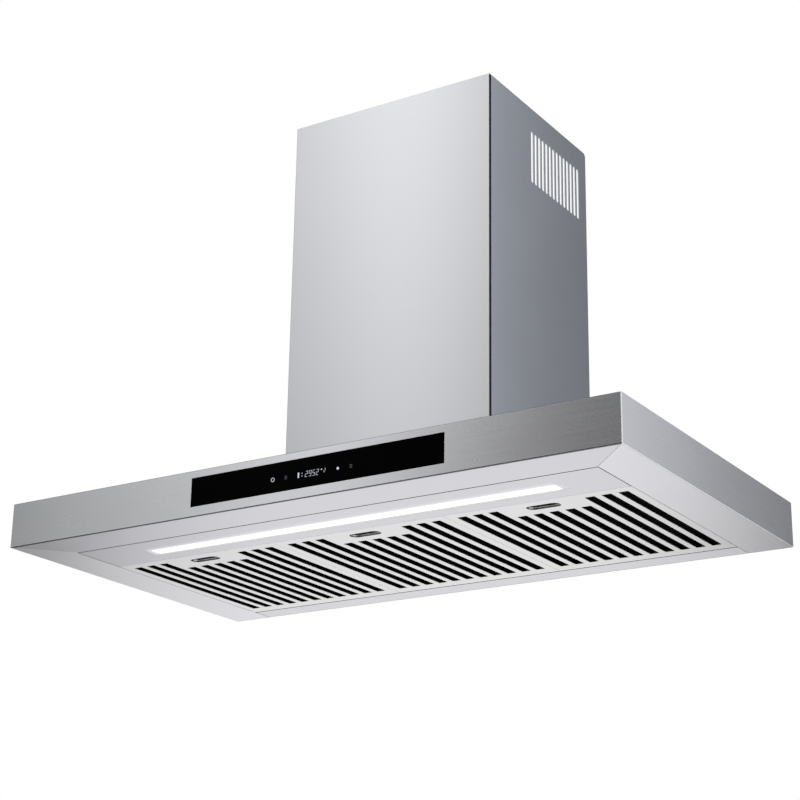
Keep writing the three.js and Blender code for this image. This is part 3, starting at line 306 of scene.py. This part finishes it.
def moulded(name, color, roughness, metallic=0.0):
    """Moulded plastic or cast metal: a fine spark-eroded grain and faint flow marks."""
    material, n, place = new_material(name)
    grain = n.noise(place, 900.0, 2.0)
    flow = n.noise(place, 18.0, 3.0)
    edge, rounded = edge_mask(n, 0.5 * MM)
    # Sharp edges drawn up to 0.25 lighter: partly rubbed wear, partly a painted highlight
    tone = n.math("ADD", n.spread(flow, 1, 0.06), n.ramp(edge, 0, 1, 0, 0.25))
    rough = n.math("ADD", n.spread(grain, roughness, 0.06), n.spread(flow, 0, 0.04))
    bump = n.add("Bump", Height=grain, Normal=rounded, Strength=0.25, Distance=0.04 * MM).outputs[0]
    shader = n.add("BsdfPrincipled", Base_Color=n.tint(color, tone), Roughness=rough, Normal=bump)
    shader.inputs["Metallic"].default_value = metallic
    finish_surface(n, shader)
    return material


def black_glass(name):
    """Polished black glass with the faintest film of finger marks."""
    material, n, place = new_material(name)
    film = n.noise(place, 28.0, 5.0)
    _, rounded = edge_mask(n, 0.4 * MM)
    color = n.tint((0.0006, 0.0006, 0.0007), n.spread(film, 1, 0.2))
    rough = n.spread(film, 0.09, 0.04)
    shader = n.add("BsdfPrincipled", Base_Color=color, Roughness=rough, Normal=rounded)
    shader.inputs["IOR"].default_value = 1.5
    shader.inputs["Specular IOR Level"].default_value = 0.01
    finish_surface(n, shader)
    return material


def lit(name, color, strength, base):
    """A glowing surface with a faint grain. strength is a number, or a function that gives the
    light it sends out from place to place; base is how pale it is when unlit."""
    material, n, place = new_material(name)
    grain = n.spread(n.noise(place, 300.0, 2.0), 0.98, 0.02)
    glow = n.tint(color, grain)
    unlit = n.tint([base * channel for channel in color], grain)
    shader = n.add("BsdfPrincipled", Base_Color=unlit, Roughness=0.45, Emission_Color=glow)
    level = strength(n, place) if callable(strength) else strength
    n.put(shader.inputs["Emission Strength"], level)
    finish_surface(n, shader)
    return material


def board_green(name):
    """Lacquered circuit board with a faint weave."""
    material, n, place = new_material(name)
    slanted = {"bands_direction": "DIAGONAL"}
    weave = n.add("TexWave", slanted, Vector=place, Scale=400.0, Distortion=1.0).outputs["Fac"]
    color = n.tint((0.03, 0.14, 0.07), n.ramp(weave, 0, 1, 0.85, 1.1))
    shader = n.add("BsdfPrincipled", Base_Color=color, Roughness=n.ramp(weave, 0, 1, 0.3, 0.42))
    finish_surface(n, shader)
    return material


def seam(name):
    """Painted shade: the dull dark line of shadow where two folded sheets meet."""
    material, n, place = new_material(name)
    dust = n.noise(place, 220.0)
    color = n.tint((0.012, 0.012, 0.014), n.spread(dust, 1, 0.2))
    shader = n.add("BsdfPrincipled", Base_Color=color, Roughness=n.spread(dust, 0.78, 0.08))
    shader.inputs["Specular IOR Level"].default_value = 0.1
    finish_surface(n, shader)
    return material


STRIP_DIM = 0.1  # share of the light that is left where the strip has faded
# Painted light spilling from the strip onto the light panel and bezel
SPILL_REACH = 17 * MM
SPILL_LEVEL = 0.52  # beside the diffuser; the light sent out is its square


def strip_level(n, place):
    """Brightness of the diffuser: it fades towards its rear edge and near its ends."""
    low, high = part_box("led_diffuser")
    split = n.add("SeparateXYZ", Vector=place).outputs
    rear = n.ramp(split[1], high.y - 6 * MM, high.y - 3 * MM, 1.0, STRIP_DIM)
    left = n.ramp(split[0], low.x + 5 * MM, low.x + 8 * MM, STRIP_DIM, 1.0)
    right = n.ramp(split[0], high.x - 14 * MM, high.x - 7 * MM, 1.0, STRIP_DIM)
    return n.math("MULTIPLY", n.math("MULTIPLY", rear, left), right)


def painted_strip_spill(n, place):
    """Painted light: the glow that the panel and bezel send out themselves, standing for light
    spilling from the diffuser onto the panel ahead of it, towards the front rim. Past the lit
    strip's ends it falls off twice as fast."""
    low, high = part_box("led_diffuser")
    lit_from, lit_to = low.x + 6 * MM, high.x - 12 * MM
    split = n.add("SeparateXYZ", Vector=place).outputs
    ahead = n.math("SUBTRACT", low.y, split[1])
    past_left = n.math("SUBTRACT", lit_from, split[0])
    past_right = n.math("SUBTRACT", split[0], lit_to)
    beside = n.math("MAXIMUM", past_left, past_right)
    beside = n.math("MULTIPLY", n.math("MAXIMUM", beside, 0.0), 2.0)
    squares = n.math("ADD", n.math("POWER", ahead, 2.0), n.math("POWER", beside, 2.0))
    distance = n.math("SQRT", squares)
    spill = n.math("POWER", n.ramp(distance, 0.0, SPILL_REACH, SPILL_LEVEL, 0.0), 2.0)
    return n.math("MULTIPLY", spill, n.math("GREATER_THAN", ahead, 0.0))


def slot_painted_shade(node):
    """Corners of the space round a filter tray's turned-up slot edges, where deep shade is painted:
    the steel there is drawn dark.
    """
    low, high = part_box(node)
    far = Vector((high.x - 6 * MM, high.y - 14 * MM, low.z + 5.4 * MM))
    return low + Vector((6, 4, 0.9)) * MM, far


def pull_painted_shade():
    """Corners of the space round the upper part of the three finger pulls, where shade is painted:
    the latch there is drawn dark.
    """
    low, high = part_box("filter_left_latch")[0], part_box("filter_right_latch")[1]
    return low + Vector((0, 0, 3.0)) * MM, high + Vector((1, 1, 1)) * MM


def baffle_painted_shade(node):
    """Corners of the space below the upper faces of a row of baffles, where shade is painted: the
    baffles there are drawn dark.
    """
    low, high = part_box(node)
    margin = Vector((1, 1, 1)) * MM
    return low - margin, high + Vector((1, 1, -0.6)) * MM


# Painted light and shade: BRIGHT_SATIN, on the side rims and rear rail, is a lighter copy of the
# front rim's SATIN
SATIN = (0.69, 0.69, 0.73)
BRIGHT_SATIN = (0.735, 0.735, 0.77)
FILTER = (0.775, 0.775, 0.78)
COVER = {
    "streak": 0.003, "fine": 0.008, "mottle": 0.01, "wander": 0.006, "relief": 0.01,
    "anisotropy": 0.5,
}
FOLDED = {"streak": 0.01, "fine": 0.02, "wander": 0.015, "relief": 0.04}
BRUSHED = {"streak": 0.015, "fine": 0.028, "wander": 0.018, "relief": 0.045}

MATERIALS = {
    # Painted light and shade: the canopy's side panels (flank) are drawn darker than its front and
    # top (face), and the chimney's sides (cover_y) lighter and bluer than its front (cover_x)
    "face": steel("steel_face", (0.71, 0.715, 0.74), "x", 0.26, **BRUSHED),
    "flank": steel("steel_flank", (0.655, 0.66, 0.685), "y", 0.26, **BRUSHED),
    "cover_x": steel("cover_steel_x", (0.625, 0.63, 0.655), "x", 0.24, **COVER),
    "cover_y": steel("cover_steel_y", (0.63, 0.66, 0.72), "y", 0.24, **COVER),
    "rim_x": steel("rim_steel_x", SATIN, "x", 0.30, **FOLDED),
    "rim_y": steel("rim_steel_y", BRIGHT_SATIN, "y", 0.30, **FOLDED),
    "rail": steel("rail_steel", BRIGHT_SATIN, "x", 0.34, **FOLDED),
    # The light panel and bezel glow with painted light from the strip
    "panel": steel("panel_steel", SATIN, "x", 0.30, glow=painted_strip_spill, **FOLDED),
    # Painted shade: the upper part of the finger pulls is drawn dark
    "latch": steel("latch_steel", (0.84, 0.84, 0.85), "x", 0.36, shade=pull_painted_shade(), **FOLDED),
    "zinc": galvanised("zinc_sheet", (0.50, 0.52, 0.53)),
    "bezel": steel("bezel_aluminium", (0.78, 0.78, 0.80), "x", 0.3, glow=painted_strip_spill),
    "led": lit("led_glow", (1.0, 1.0, 1.0), strip_level, base=0.74),
    "board": board_green("board"),
    "white": moulded("white_plastic", (0.78, 0.78, 0.75), 0.45),
    "black": moulded("black_plastic", (0.022, 0.022, 0.025), 0.5),
    "glass": black_glass("black_glass"),
    "fan": galvanised("fan_metal", (0.42, 0.43, 0.44), 0.38),
    "motor": moulded("motor_metal", (0.45, 0.46, 0.47), 0.42, metallic=1.0),
    "shaft": steel("shaft_steel", (0.7, 0.7, 0.7), "x", 0.2),
    "screw": moulded("screw_steel", (0.55, 0.55, 0.56), 0.3, metallic=1.0),
    # Painted shade laid along the rounded edges beside gaps
    "seam": seam("seam_shadow"),
    # Painted highlight: a near-white steel for bright lines on outer edges
    "worn": steel("bright_edge_painted_highlight", (0.95, 0.95, 0.96), "x", 0.45, anisotropy=0.0),
}
# Painted shade: round the trays' slot edges and below the baffles' upper faces the steel is drawn
# dark, so the slots look black
for place in PLACES:
    tray, baffles = f"filter_{place}_tray", f"filter_{place}_baffles"
    shade = slot_painted_shade(tray)
    MATERIALS[tray] = steel(tray + "_steel", FILTER, "y", 0.34, shade=shade, **FOLDED)
    shade = baffle_painted_shade(baffles)
    MATERIALS[baffles] = steel(baffles + "_steel", FILTER, "y", 0.4, shade=shade, **FOLDED)

# The nodes left out here are zinc-coated
NODE_FINISH = {
    "front_fascia": "face", "left_side_panel": "flank", "right_side_panel": "flank",
    "top_panel": "face", "front_rim": "rim_x", "left_rim": "rim_y", "right_rim": "rim_y",
    "rear_rail": "rail", "light_panel": "panel", "led_bezel": "bezel", "led_diffuser": "led",
    "led_channel": "bezel", "led_board": "board", "led_driver": "white", "control_glass": "glass",
    "control_tray": "black", "control_board": "board", "scroll_housing": "black",
    "impeller": "fan", "motor_shaft": "shaft", "motor_body": "motor", "run_capacitor": "white",
    "terminal_box": "black", "cable_gland": "black", "damper_axle": "shaft",
    "chimney_front": "cover_x", "chimney_left": "cover_y", "chimney_right": "cover_y",
    "chimney_inner": "cover_x",
}
for place in PLACES:
    NODE_FINISH[f"filter_{place}_latch"] = "latch"
    for node in (f"filter_{place}_tray", f"filter_{place}_baffles"):
        NODE_FINISH[node] = node
for node in frame["nodes"]:
    NODE_FINISH.setdefault(node, "zinc")


def set_finish(piece, finish):
    piece.data.materials.clear()
    piece.data.materials.append(MATERIALS[finish])


# ------------------------------------------------------------------ eased copies of sheet pieces

WELD = 0.002 * MM  # corners this close are one corner
COPLANAR = math.radians(1)  # triangles that meet flatter than this are one face
SHARP = math.radians(35)
NEAR = 0.2 * MM  # how far an edge may lie from the plane it is looked for on
# Painted shade for the dark seam lines, and a painted highlight for the bright edge lines
LINE_FINISHES = ("seam", "worn")
GLASS_RECESS = 0.1 * MM  # behind the CAD face, so that the display can stand on the glass


def sharp_edges(bm):
    return [edge for edge in bm.edges if edge.is_manifold and edge.calc_face_angle() > SHARP]


def round_edges(bm, edges, width):
    rounded = bmesh.ops.bevel(
        bm, geom=edges, offset=width, offset_type="OFFSET", segments=2, profile=0.5,
        affect="EDGES", clamp_overlap=True, material=-1)
    return rounded["faces"]


def edge_middle(edge):
    return (edge.verts[0].co + edge.verts[1].co) / 2


def eased(node, width, lines=()):
    """Stands for a CAD node: the same solid with its sharp edges rounded inwards. Each line is a
    test of an edge's middle, a width and a finish: the edges that pass are rounded by that width
    and take that finish, a painted seam shade that darkens the edges beside a gap or a painted
    highlight that brightens an edge."""
    source = frame["nodes"][node]
    bm = bmesh.new()
    bm.from_mesh(source.data)
    bmesh.ops.remove_doubles(bm, verts=bm.verts, dist=WELD)
    bmesh.ops.dissolve_limit(bm, angle_limit=COPLANAR, verts=bm.verts, edges=bm.edges)
    for face in bm.faces:
        face.material_index = 0  # the node's own finish; those of the lines come after it
    for is_on_line, line_width, finish in lines:
        edges = [edge for edge in sharp_edges(bm) if is_on_line(edge_middle(edge))]
        for face in round_edges(bm, edges, line_width * MM):
            face.material_index = LINE_FINISHES.index(finish) + 1
    plain = [edge for edge in sharp_edges(bm)
             if not any(face.material_index for face in edge.link_faces)]
    round_edges(bm, plain, width * MM)
    if node == "control_glass":
        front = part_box(node)[0].y
        for vert in bm.verts:
            vert.co.y = max(vert.co.y, front + GLASS_RECESS)
    piece = solid(node + "_eased", bm)
    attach(piece, source["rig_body"])
    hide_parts(node)
    for finish in (NODE_FINISH[node], *LINE_FINISHES):
        piece.data.materials.append(MATERIALS[finish])


FRONT_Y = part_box("front_fascia")[0].y
ROOF_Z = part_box("front_fascia")[1].z
RIM_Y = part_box("front_rim")[1].y
RIM_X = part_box("right_rim")[0].x
RAIL_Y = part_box("rear_rail")[0].y
HALF_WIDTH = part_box("right_side_panel")[1].x
COVER_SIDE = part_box("chimney_right")
COVER_X = COVER_SIDE[1].x
COVER_FOOT = COVER_SIDE[0].z
COVER_FRONT_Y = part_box("chimney_front")[0].y

# Tests of an edge's middle: whether it lies on one of the hood's lines, or within reach of it


def on_underside(co):
    return co.z < NEAR


def roof_front(co):
    return co.z > ROOF_Z - NEAR and co.y < FRONT_Y + NEAR


def fascia_foot(co):
    return on_underside(co) and co.y < FRONT_Y + 0.8 * MM


def fascia_line(co):
    return on_underside(co) and co.y < FRONT_Y + 2 * MM


def rim_front_line(co):
    return on_underside(co) and abs(co.y - RIM_Y) < 1.5 * MM


def rim_side_line(co):
    return on_underside(co) and abs(abs(co.x) - RIM_X) < 1.5 * MM


def rail_line(co):
    return on_underside(co) and abs(co.y - RAIL_Y) < NEAR


def cover_corner(co):
    return co.y < COVER_SIDE[0].y + NEAR and abs(co.x) > COVER_X - NEAR


def cover_foot(co):
    return co.z < COVER_FOOT + NEAR


def cover_front_end(co):
    return abs(co.x) > COVER_X - NEAR and co.y < COVER_FRONT_Y + NEAR


def fascia_end(co):
    return abs(co.x) > HALF_WIDTH - 1 * MM and co.y < FRONT_Y + 1 * MM


def side_foot(co):
    return on_underside(co) and abs(co.x) > HALF_WIDTH - NEAR


# Painted highlight: the bright lines on the fascia's ends and the side panels' feet
# Painted shade: the dark lines darken the rounded edges beside gaps, up to 3 mm wide on the
# chimney's side covers
# Node, width of its rounded edges in mm, and its lines
EASED = [
    ("front_fascia", 0.45,
     [(fascia_end, 0.5, "worn"), (fascia_foot, 0.9, "seam"), (roof_front, 0.6, "seam")]),
    ("front_rim", 0.3, [(fascia_line, 2.3, "seam"), (rim_front_line, 0.6, "seam")]),
    ("left_rim", 0.3, [(rim_side_line, 0.6, "seam")]),
    ("right_rim", 0.3, [(rim_side_line, 0.6, "seam")]),
    ("rear_rail", 0.3, [(rail_line, 0.8, "seam")]),
    ("light_panel", 0.3, [(rim_front_line, 0.7, "seam"), (rim_side_line, 2.6, "seam")]),
    ("chimney_front", 0.3, [(cover_front_end, 0.65, "seam"), (cover_foot, 0.3, "seam")]),
    ("chimney_left", 0.3, [(cover_corner, 3.0, "seam")]),
    ("chimney_right", 0.3, [(cover_corner, 3.0, "seam")]),
    ("left_side_panel", 0.35, [(side_foot, 0.6, "worn")]),
    ("right_side_panel", 0.35, [(side_foot, 0.6, "worn")]),
    ("control_glass", 0.5),
    ("led_bezel", 0.4),
]

# ------------------------------------------------------------------ screws and rivets


def ring_of(bm, radii, height, turn):
    """A ring of vertices about +Z, one for each radius."""
    count = len(radii)
    return [bm.verts.new(turn @ Vector((r * math.cos(2 * math.pi * k / count),
                                        r * math.sin(2 * math.pi * k / count), height)))
            for k, r in enumerate(radii)]


def lathe(bm, rings):
    """Joins rings into a closed skin with a face at each end."""
    for lower, upper in zip(rings, rings[1:]):
        for k in range(len(lower)):
            bm.faces.new((lower[k - 1], lower[k], upper[k], upper[k - 1]))
    bm.faces.new(list(reversed(rings[0])))
    bm.faces.new(rings[-1])


HEAD_SIDES = 24
HEAD_SPIN = 0.4  # radians that each head is turned on from the one before
CROSS_ARM, CROSS_NECK = 0.52, 0.224  # of the head's radius, at its tips and between its arms


def cross_radius(k):
    """Outline of a cross recess at step k of a turn."""
    angle = (2 * math.pi * k / HEAD_SIDES + math.pi / 4) % (math.pi / 2) - math.pi / 4
    return CROSS_ARM if abs(angle) < 0.3 else CROSS_NECK


def pan_head(bm, turn, radius):
    """Domed screw head with a cross recess."""
    sides = range(HEAD_SIDES)
    height = 0.55 * radius
    outline = [(1.0, 0.0), (1.0, 0.3), (0.92, 0.7), (0.75, 0.93), (0.62, 1.0)]
    rings = [ring_of(bm, [r * radius for _ in sides], z * height, turn) for r, z in outline]
    cross = [cross_radius(k) * radius for k in sides]
    rings.append(ring_of(bm, cross, height, turn))
    rings.append(ring_of(bm, [r * 0.8 for r in cross], 0.35 * height, turn))
    lathe(bm, rings)


def rivet_head(bm, turn, radius):
    """Low domed rivet with the dimple of its drawn mandrel."""
    outline = [(1.0, 0.0), (0.97, 0.18), (0.8, 0.32), (0.5, 0.4), (0.34, 0.4), (0.28, 0.25)]
    rings = [ring_of(bm, [r * radius] * HEAD_SIDES, z * radius, turn) for r, z in outline]
    lathe(bm, rings)


def fasteners(name, head, body, radius, places):
    """One piece that holds like heads standing on faces that look up."""
    bm = bmesh.new()
    for i, place in enumerate(places):
        turn = Matrix.Translation(place) @ Matrix.Rotation(HEAD_SPIN * i, 4, "Z")
        head(bm, turn, radius)
    bmesh.ops.recalc_face_normals(bm, faces=bm.faces)
    piece = solid(name, bm)
    set_finish(piece, "screw")
    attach(piece, body)


def spaced(start, end, count):
    """Evenly spaced numbers, the first and last half a step inside the ends."""
    return [start + (end - start) * (i + 0.5) / count for i in range(count)]


def sheet_screws():
    """Screws that hold the blower box, the collar and the foot angles, and the sheet rivets."""
    low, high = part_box("outlet_collar")
    centre = (low + high) / 2
    radius = (high.x - low.x) / 2 - 5.5 * MM  # of the circle that the screws stand on
    ring_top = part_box("blower_box_top")[1].z + 1.5 * MM
    turns = [math.pi * (2 * k + 1) / 8 for k in range(8)]
    around = [Vector((centre.x + radius * math.cos(t), centre.y + radius * math.sin(t), ring_top))
              for t in turns]
    fasteners("collar_screws", pan_head, "hood", 3.2 * MM, around)

    edge = 5 * MM
    low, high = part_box("blower_box_top")
    sides = [Vector((x, y, high.z))
             for x in (low.x + edge, high.x - edge) for y in spaced(low.y, high.y, 4)]
    ends = [Vector((x, high.y - edge, high.z)) for x in spaced(low.x, high.x, 3)]
    fasteners("box_top_screws", pan_head, "hood", 2.8 * MM, sides + ends)

    edge = 4 * MM
    flange = 1.2 * MM  # thickness of the flanges that lie on the roof
    toes = []
    for node in ("blower_box_left", "blower_box_right"):
        low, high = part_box(node)
        x = low.x + edge if node == "blower_box_left" else high.x - edge
        toes += [Vector((x, y, low.z + flange)) for y in spaced(low.y, high.y, 3)]
    low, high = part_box("blower_box_front")
    toes += [Vector((x, low.y + edge, low.z + flange)) for x in spaced(low.x, high.x, 3)]
    fasteners("box_foot_screws", pan_head, "hood", 2.6 * MM, toes)

    feet = []
    for node in ("chimney_foot_left", "chimney_foot_right"):
        low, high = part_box(node)
        x = (low.x + high.x) / 2
        feet += [Vector((x, y, low.z + flange)) for y in spaced(low.y, high.y, 3)]
    fasteners("foot_angle_screws", pan_head, "hood", 2.8 * MM, feet)

    edge = 8 * MM
    low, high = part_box("top_panel")
    rivets = [Vector((x, y, high.z))
              for x in spaced(low.x, high.x, 7) for y in (low.y + edge, high.y - edge)]
    rivets += [Vector((x, y, high.z))
               for x in (low.x + edge, high.x - edge) for y in spaced(low.y, high.y, 4)]
    fasteners("roof_rivets", rivet_head, "hood", 2.4 * MM, rivets)


# ------------------------------------------------------------------ display on the control glass

# Ends of a digit's seven segments, in steps across (0, 1) and up (0, 1, 2)
SEGMENTS = {
    "a": ((0, 2), (1, 2)), "b": ((1, 2), (1, 1)), "c": ((1, 1), (1, 0)), "d": ((0, 0), (1, 0)),
    "e": ((0, 0), (0, 1)), "f": ((0, 1), (0, 2)), "g": ((0, 1), (1, 1)),
}
DIGITS = {"2": "abged", "5": "afgcd", "9": "abcdfg"}

# The marks' places along the glass, in mm from its middle, and their row above its foot
ROW_Z = 16.6
RING_X = -59.0
BAR_X = -20.7
COLON_X = -15.3
CLOCK = ((-8.9, "2"), (-3.5, "9"), (1.8, "5"), (7.1, "2"))
DEGREE_X = 13.1
SMALL_DIGIT_X = 17.7
DOT_X = 36.7
SYMBOLS_X = (-39.5, 55.5)


def plate(bm, corners, y0, y1):
    """A thin closed slab: a convex outline of (x, z) corners from y0 to y1."""
    front = [bm.verts.new((x, y0, z)) for x, z in corners]
    back = [bm.verts.new((x, y1, z)) for x, z in corners]
    bm.faces.new(front)
    bm.faces.new(list(reversed(back)))
    count = len(corners)
    for i in range(count):
        j = (i + 1) % count
        bm.faces.new((front[j], front[i], back[i], back[j]))


def bar(bm, start, end, width, y0, y1):
    """A segment with pointed ends between two (x, z) points."""
    a, b = Vector(start), Vector(end)
    along = (b - a).normalized()
    across = Vector((-along.y, along.x)) * width / 2
    tip = along * width / 2
    corners = [a, a + tip - across, b - tip - across, b, b - tip + across, a + tip + across]
    plate(bm, [(c.x, c.y) for c in corners], y0, y1)


def rounds(centre, radius, sides=20):
    """Corners of a many-sided disc round an (x, z) centre."""
    turns = [2 * math.pi * k / sides for k in range(sides)]
    return [(centre[0] + radius * math.cos(t), centre[1] + radius * math.sin(t)) for t in turns]


def box_marks(bm, x, z, half_width, half_height, y0, y1):
    plate(bm, [(x - half_width, z - half_height), (x + half_width, z - half_height),
               (x + half_width, z + half_height), (x - half_width, z + half_height)], y0, y1)


def digit(bm, name, x, z, height, y0, y1):
    """A slanted seven-segment digit round its middle."""
    width, lean = height * 0.46, 0.14
    for segment in DIGITS[name]:
        ends = []
        for u, v in SEGMENTS[segment]:
            rise = (v - 1) * height / 2
            ends.append((x + (u - 0.5) * width + lean * rise, z + rise))
        bar(bm, *ends, height * 0.06, y0, y1)


def display():
    """The lit marks on the glass: a ring, a clock, a dot and two dim symbols."""
    low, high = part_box("control_glass")
    y0, y1 = low.y + 0.03 * MM, low.y + 0.6 * MM
    mid = (low.x + high.x) / 2
    row = low.z + ROW_Z * MM
    bright, dim = bmesh.new(), bmesh.new()
    ring = (mid + RING_X * MM, row)
    outer, inner = rounds(ring, 2.7 * MM), rounds(ring, 2.0 * MM)
    for i in range(len(outer)):
        plate(bright, [inner[i], outer[i], outer[i - 1], inner[i - 1]], y0, y1)
    box_marks(bright, mid + BAR_X * MM, row, 1.0 * MM, 3.3 * MM, y0, y1)
    for side in (-1, 1):
        z = row + side * 1.7 * MM
        box_marks(bright, mid + COLON_X * MM, z, 0.5 * MM, 0.5 * MM, y0, y1)
    for x, name in CLOCK:
        digit(bright, name, mid + x * MM, row, 6.9 * MM, y0, y1)
    plate(bright, rounds((mid + DEGREE_X * MM, row + 2.4 * MM), 0.9 * MM, 12), y0, y1)
    digit(bright, "2", mid + SMALL_DIGIT_X * MM, row + 0.6 * MM, 4.4 * MM, y0, y1)
    plate(bright, rounds((mid + DOT_X * MM, row), 1.7 * MM), y0, y1)
    for x in SYMBOLS_X:
        for step in (-1, 0, 1):
            z = row + step * 1.7 * MM
            box_marks(dim, mid + x * MM, z, 1.9 * MM, 0.45 * MM, y0, y1)
    for name, bm, strength in (("display_marks", bright, 0.75), ("display_dim_marks", dim, 0.045)):
        bmesh.ops.recalc_face_normals(bm, faces=bm.faces)
        piece = solid(name, bm)
        piece.data.materials.append(lit(name, (0.82, 0.87, 1.0), strength, base=0.01))
        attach(piece, "hood")


# ------------------------------------------------------------------ studio

FLOOR_Z = -1.6
FLOOR_REACH = 12
AMBIENT = 0.6  # light that the white world gives; the eye and mirrors see it as 1


def card(name, corner, size, along, up=None, color=(1, 1, 1)):
    """An upright studio panel that only reflections see, facing along Y: its lower left corner,
    its size, and the stops of its level along it and, if they are given, up it."""
    width, height = size
    piece = one_face(name, [(0, 0, 0), (width, 0, 0), (width, 0, height), (0, 0, height)])
    piece.location = corner
    material, n, place = new_material(name)
    split = n.add("SeparateXYZ", Vector=place).outputs
    level = n.profile(split[0], along)
    if up:
        level = n.math("MULTIPLY", level, n.profile(split[2], up))
    finish_surface(n, n.add("Emission", Color=(*color, 1), Strength=level))
    piece.data.materials.append(material)
    for ray in ("camera", "diffuse", "shadow", "transmission", "volume_scatter"):
        setattr(piece, "visible_" + ray, False)


# Stops of each panel's level: metres from its left edge, or up from the front panel's foot
FRONT_PROFILE = [
    (0.0, 0.1), (1.0, 0.2), (1.5, 1.05), (1.9, 0.72), (2.1, 1.75), (2.4, 1.08), (2.9, 0.1),
    (4.8, 0.02),
]
FRONT_RISE = [(0.0, 0.3), (1.9, 0.68), (3.1, 1.15), (4.2, 1.2)]
SIDE_PROFILE = [(0.0, 0.15), (1.25, 0.18), (1.6, 0.5), (1.8, 1.1), (2.0, 1.1)]
LEFT_PROFILE = [(0.0, 0.1), (0.5, 0.08), (0.88, 0.73), (1.3, 1.0)]
RIGHT_PROFILE = [(0.0, 0.95), (0.2, 0.8), (0.4, 0.25), (1.4, 0.2)]


def make_world():
    world = bpy.data.worlds.new("studio")
    bpy.context.scene.world = world
    n = Nodes(world)
    path = n.add("LightPath")
    seen = n.math("MAXIMUM", path.outputs["Is Camera Ray"], path.outputs["Is Glossy Ray"])
    seen = n.math("MAXIMUM", seen, path.outputs["Is Transmission Ray"])
    background = n.add("Background", Strength=n.ramp(seen, 0, 1, AMBIENT, 1.0))
    output = n.add("OutputWorld")
    background.inputs["Color"].default_value = (1, 1, 1, 1)
    n.tree.links.new(background.outputs[0], output.inputs[0])


def make_floor():
    """A plain pale floor that is seen only from above, so that the underside can be looked at."""
    corners = [(-1, -1), (1, -1), (1, 1), (-1, 1)]
    floor = one_face("floor", [(x * FLOOR_REACH, y * FLOOR_REACH, FLOOR_Z) for x, y in corners])
    material, n, place = new_material("floor")
    color = n.tint((0.94, 0.94, 0.94), n.spread(n.noise(place, 1.2), 1, 0.01))
    shader = n.add("BsdfPrincipled", Base_Color=color, Roughness=0.8)
    white = n.add("Emission", Strength=1.0)
    mirrored = n.add("LightPath").outputs["Is Glossy Ray"]
    from_below = n.add("NewGeometry").outputs["Backfacing"]
    lit_side = n.blend(mirrored, shader, white)
    finish_surface(n, n.blend(from_below, lit_side, n.add("BsdfTransparent")))
    floor.data.materials.append(material)


def area_lamp(name, place, target, size, power):
    data = bpy.data.lights.new(name, "AREA")
    data.shape = "RECTANGLE"
    data.size, data.size_y = size
    data.energy = power
    lamp = link(name, data)
    lamp.location = place
    lamp.rotation_euler = (Vector(target) - Vector(place)).to_track_quat("-Z", "Y").to_euler()
    lamp.visible_glossy = False


def make_studio():
    make_world()
    make_floor()
    # A soft panel at the front left, brightest along an upright band, and three behind the wall
    # plane, mostly dark, that fade into the white round them
    card("front_card", (-3.4, -2.0, -1.2), (4.8, 4.2), FRONT_PROFILE, FRONT_RISE)
    card("side_card", (-0.4, 1.5, 0.0), (2.0, 2.8), SIDE_PROFILE, color=(0.97, 0.985, 1.02))
    card("left_card", (-2.75, 1.55, -1.55), (1.3, 2.2), LEFT_PROFILE)
    card("right_card", (-0.4, 1.55, -0.75), (1.4, 0.7), RIGHT_PROFILE)
    aim = (0, 0, 0.3)
    area_lamp("key", (-2.4, -3.0, 2.2), aim, (2.2, 2.2), 55)
    area_lamp("fill", (2.6, -2.6, 0.6), aim, (2.0, 2.0), 18)
    area_lamp("top", (0.4, 0.6, 3.2), aim, (2.4, 2.4), 30)


# ------------------------------------------------------------------ the scene

make_camera()
for node, piece in frame["nodes"].items():
    set_finish(piece, NODE_FINISH[node])
for node, width, *lines in EASED:
    eased(node, width, *lines)
display()
sheet_screws()
make_studio()
bpy.context.scene.view_settings.view_transform = "Standard"
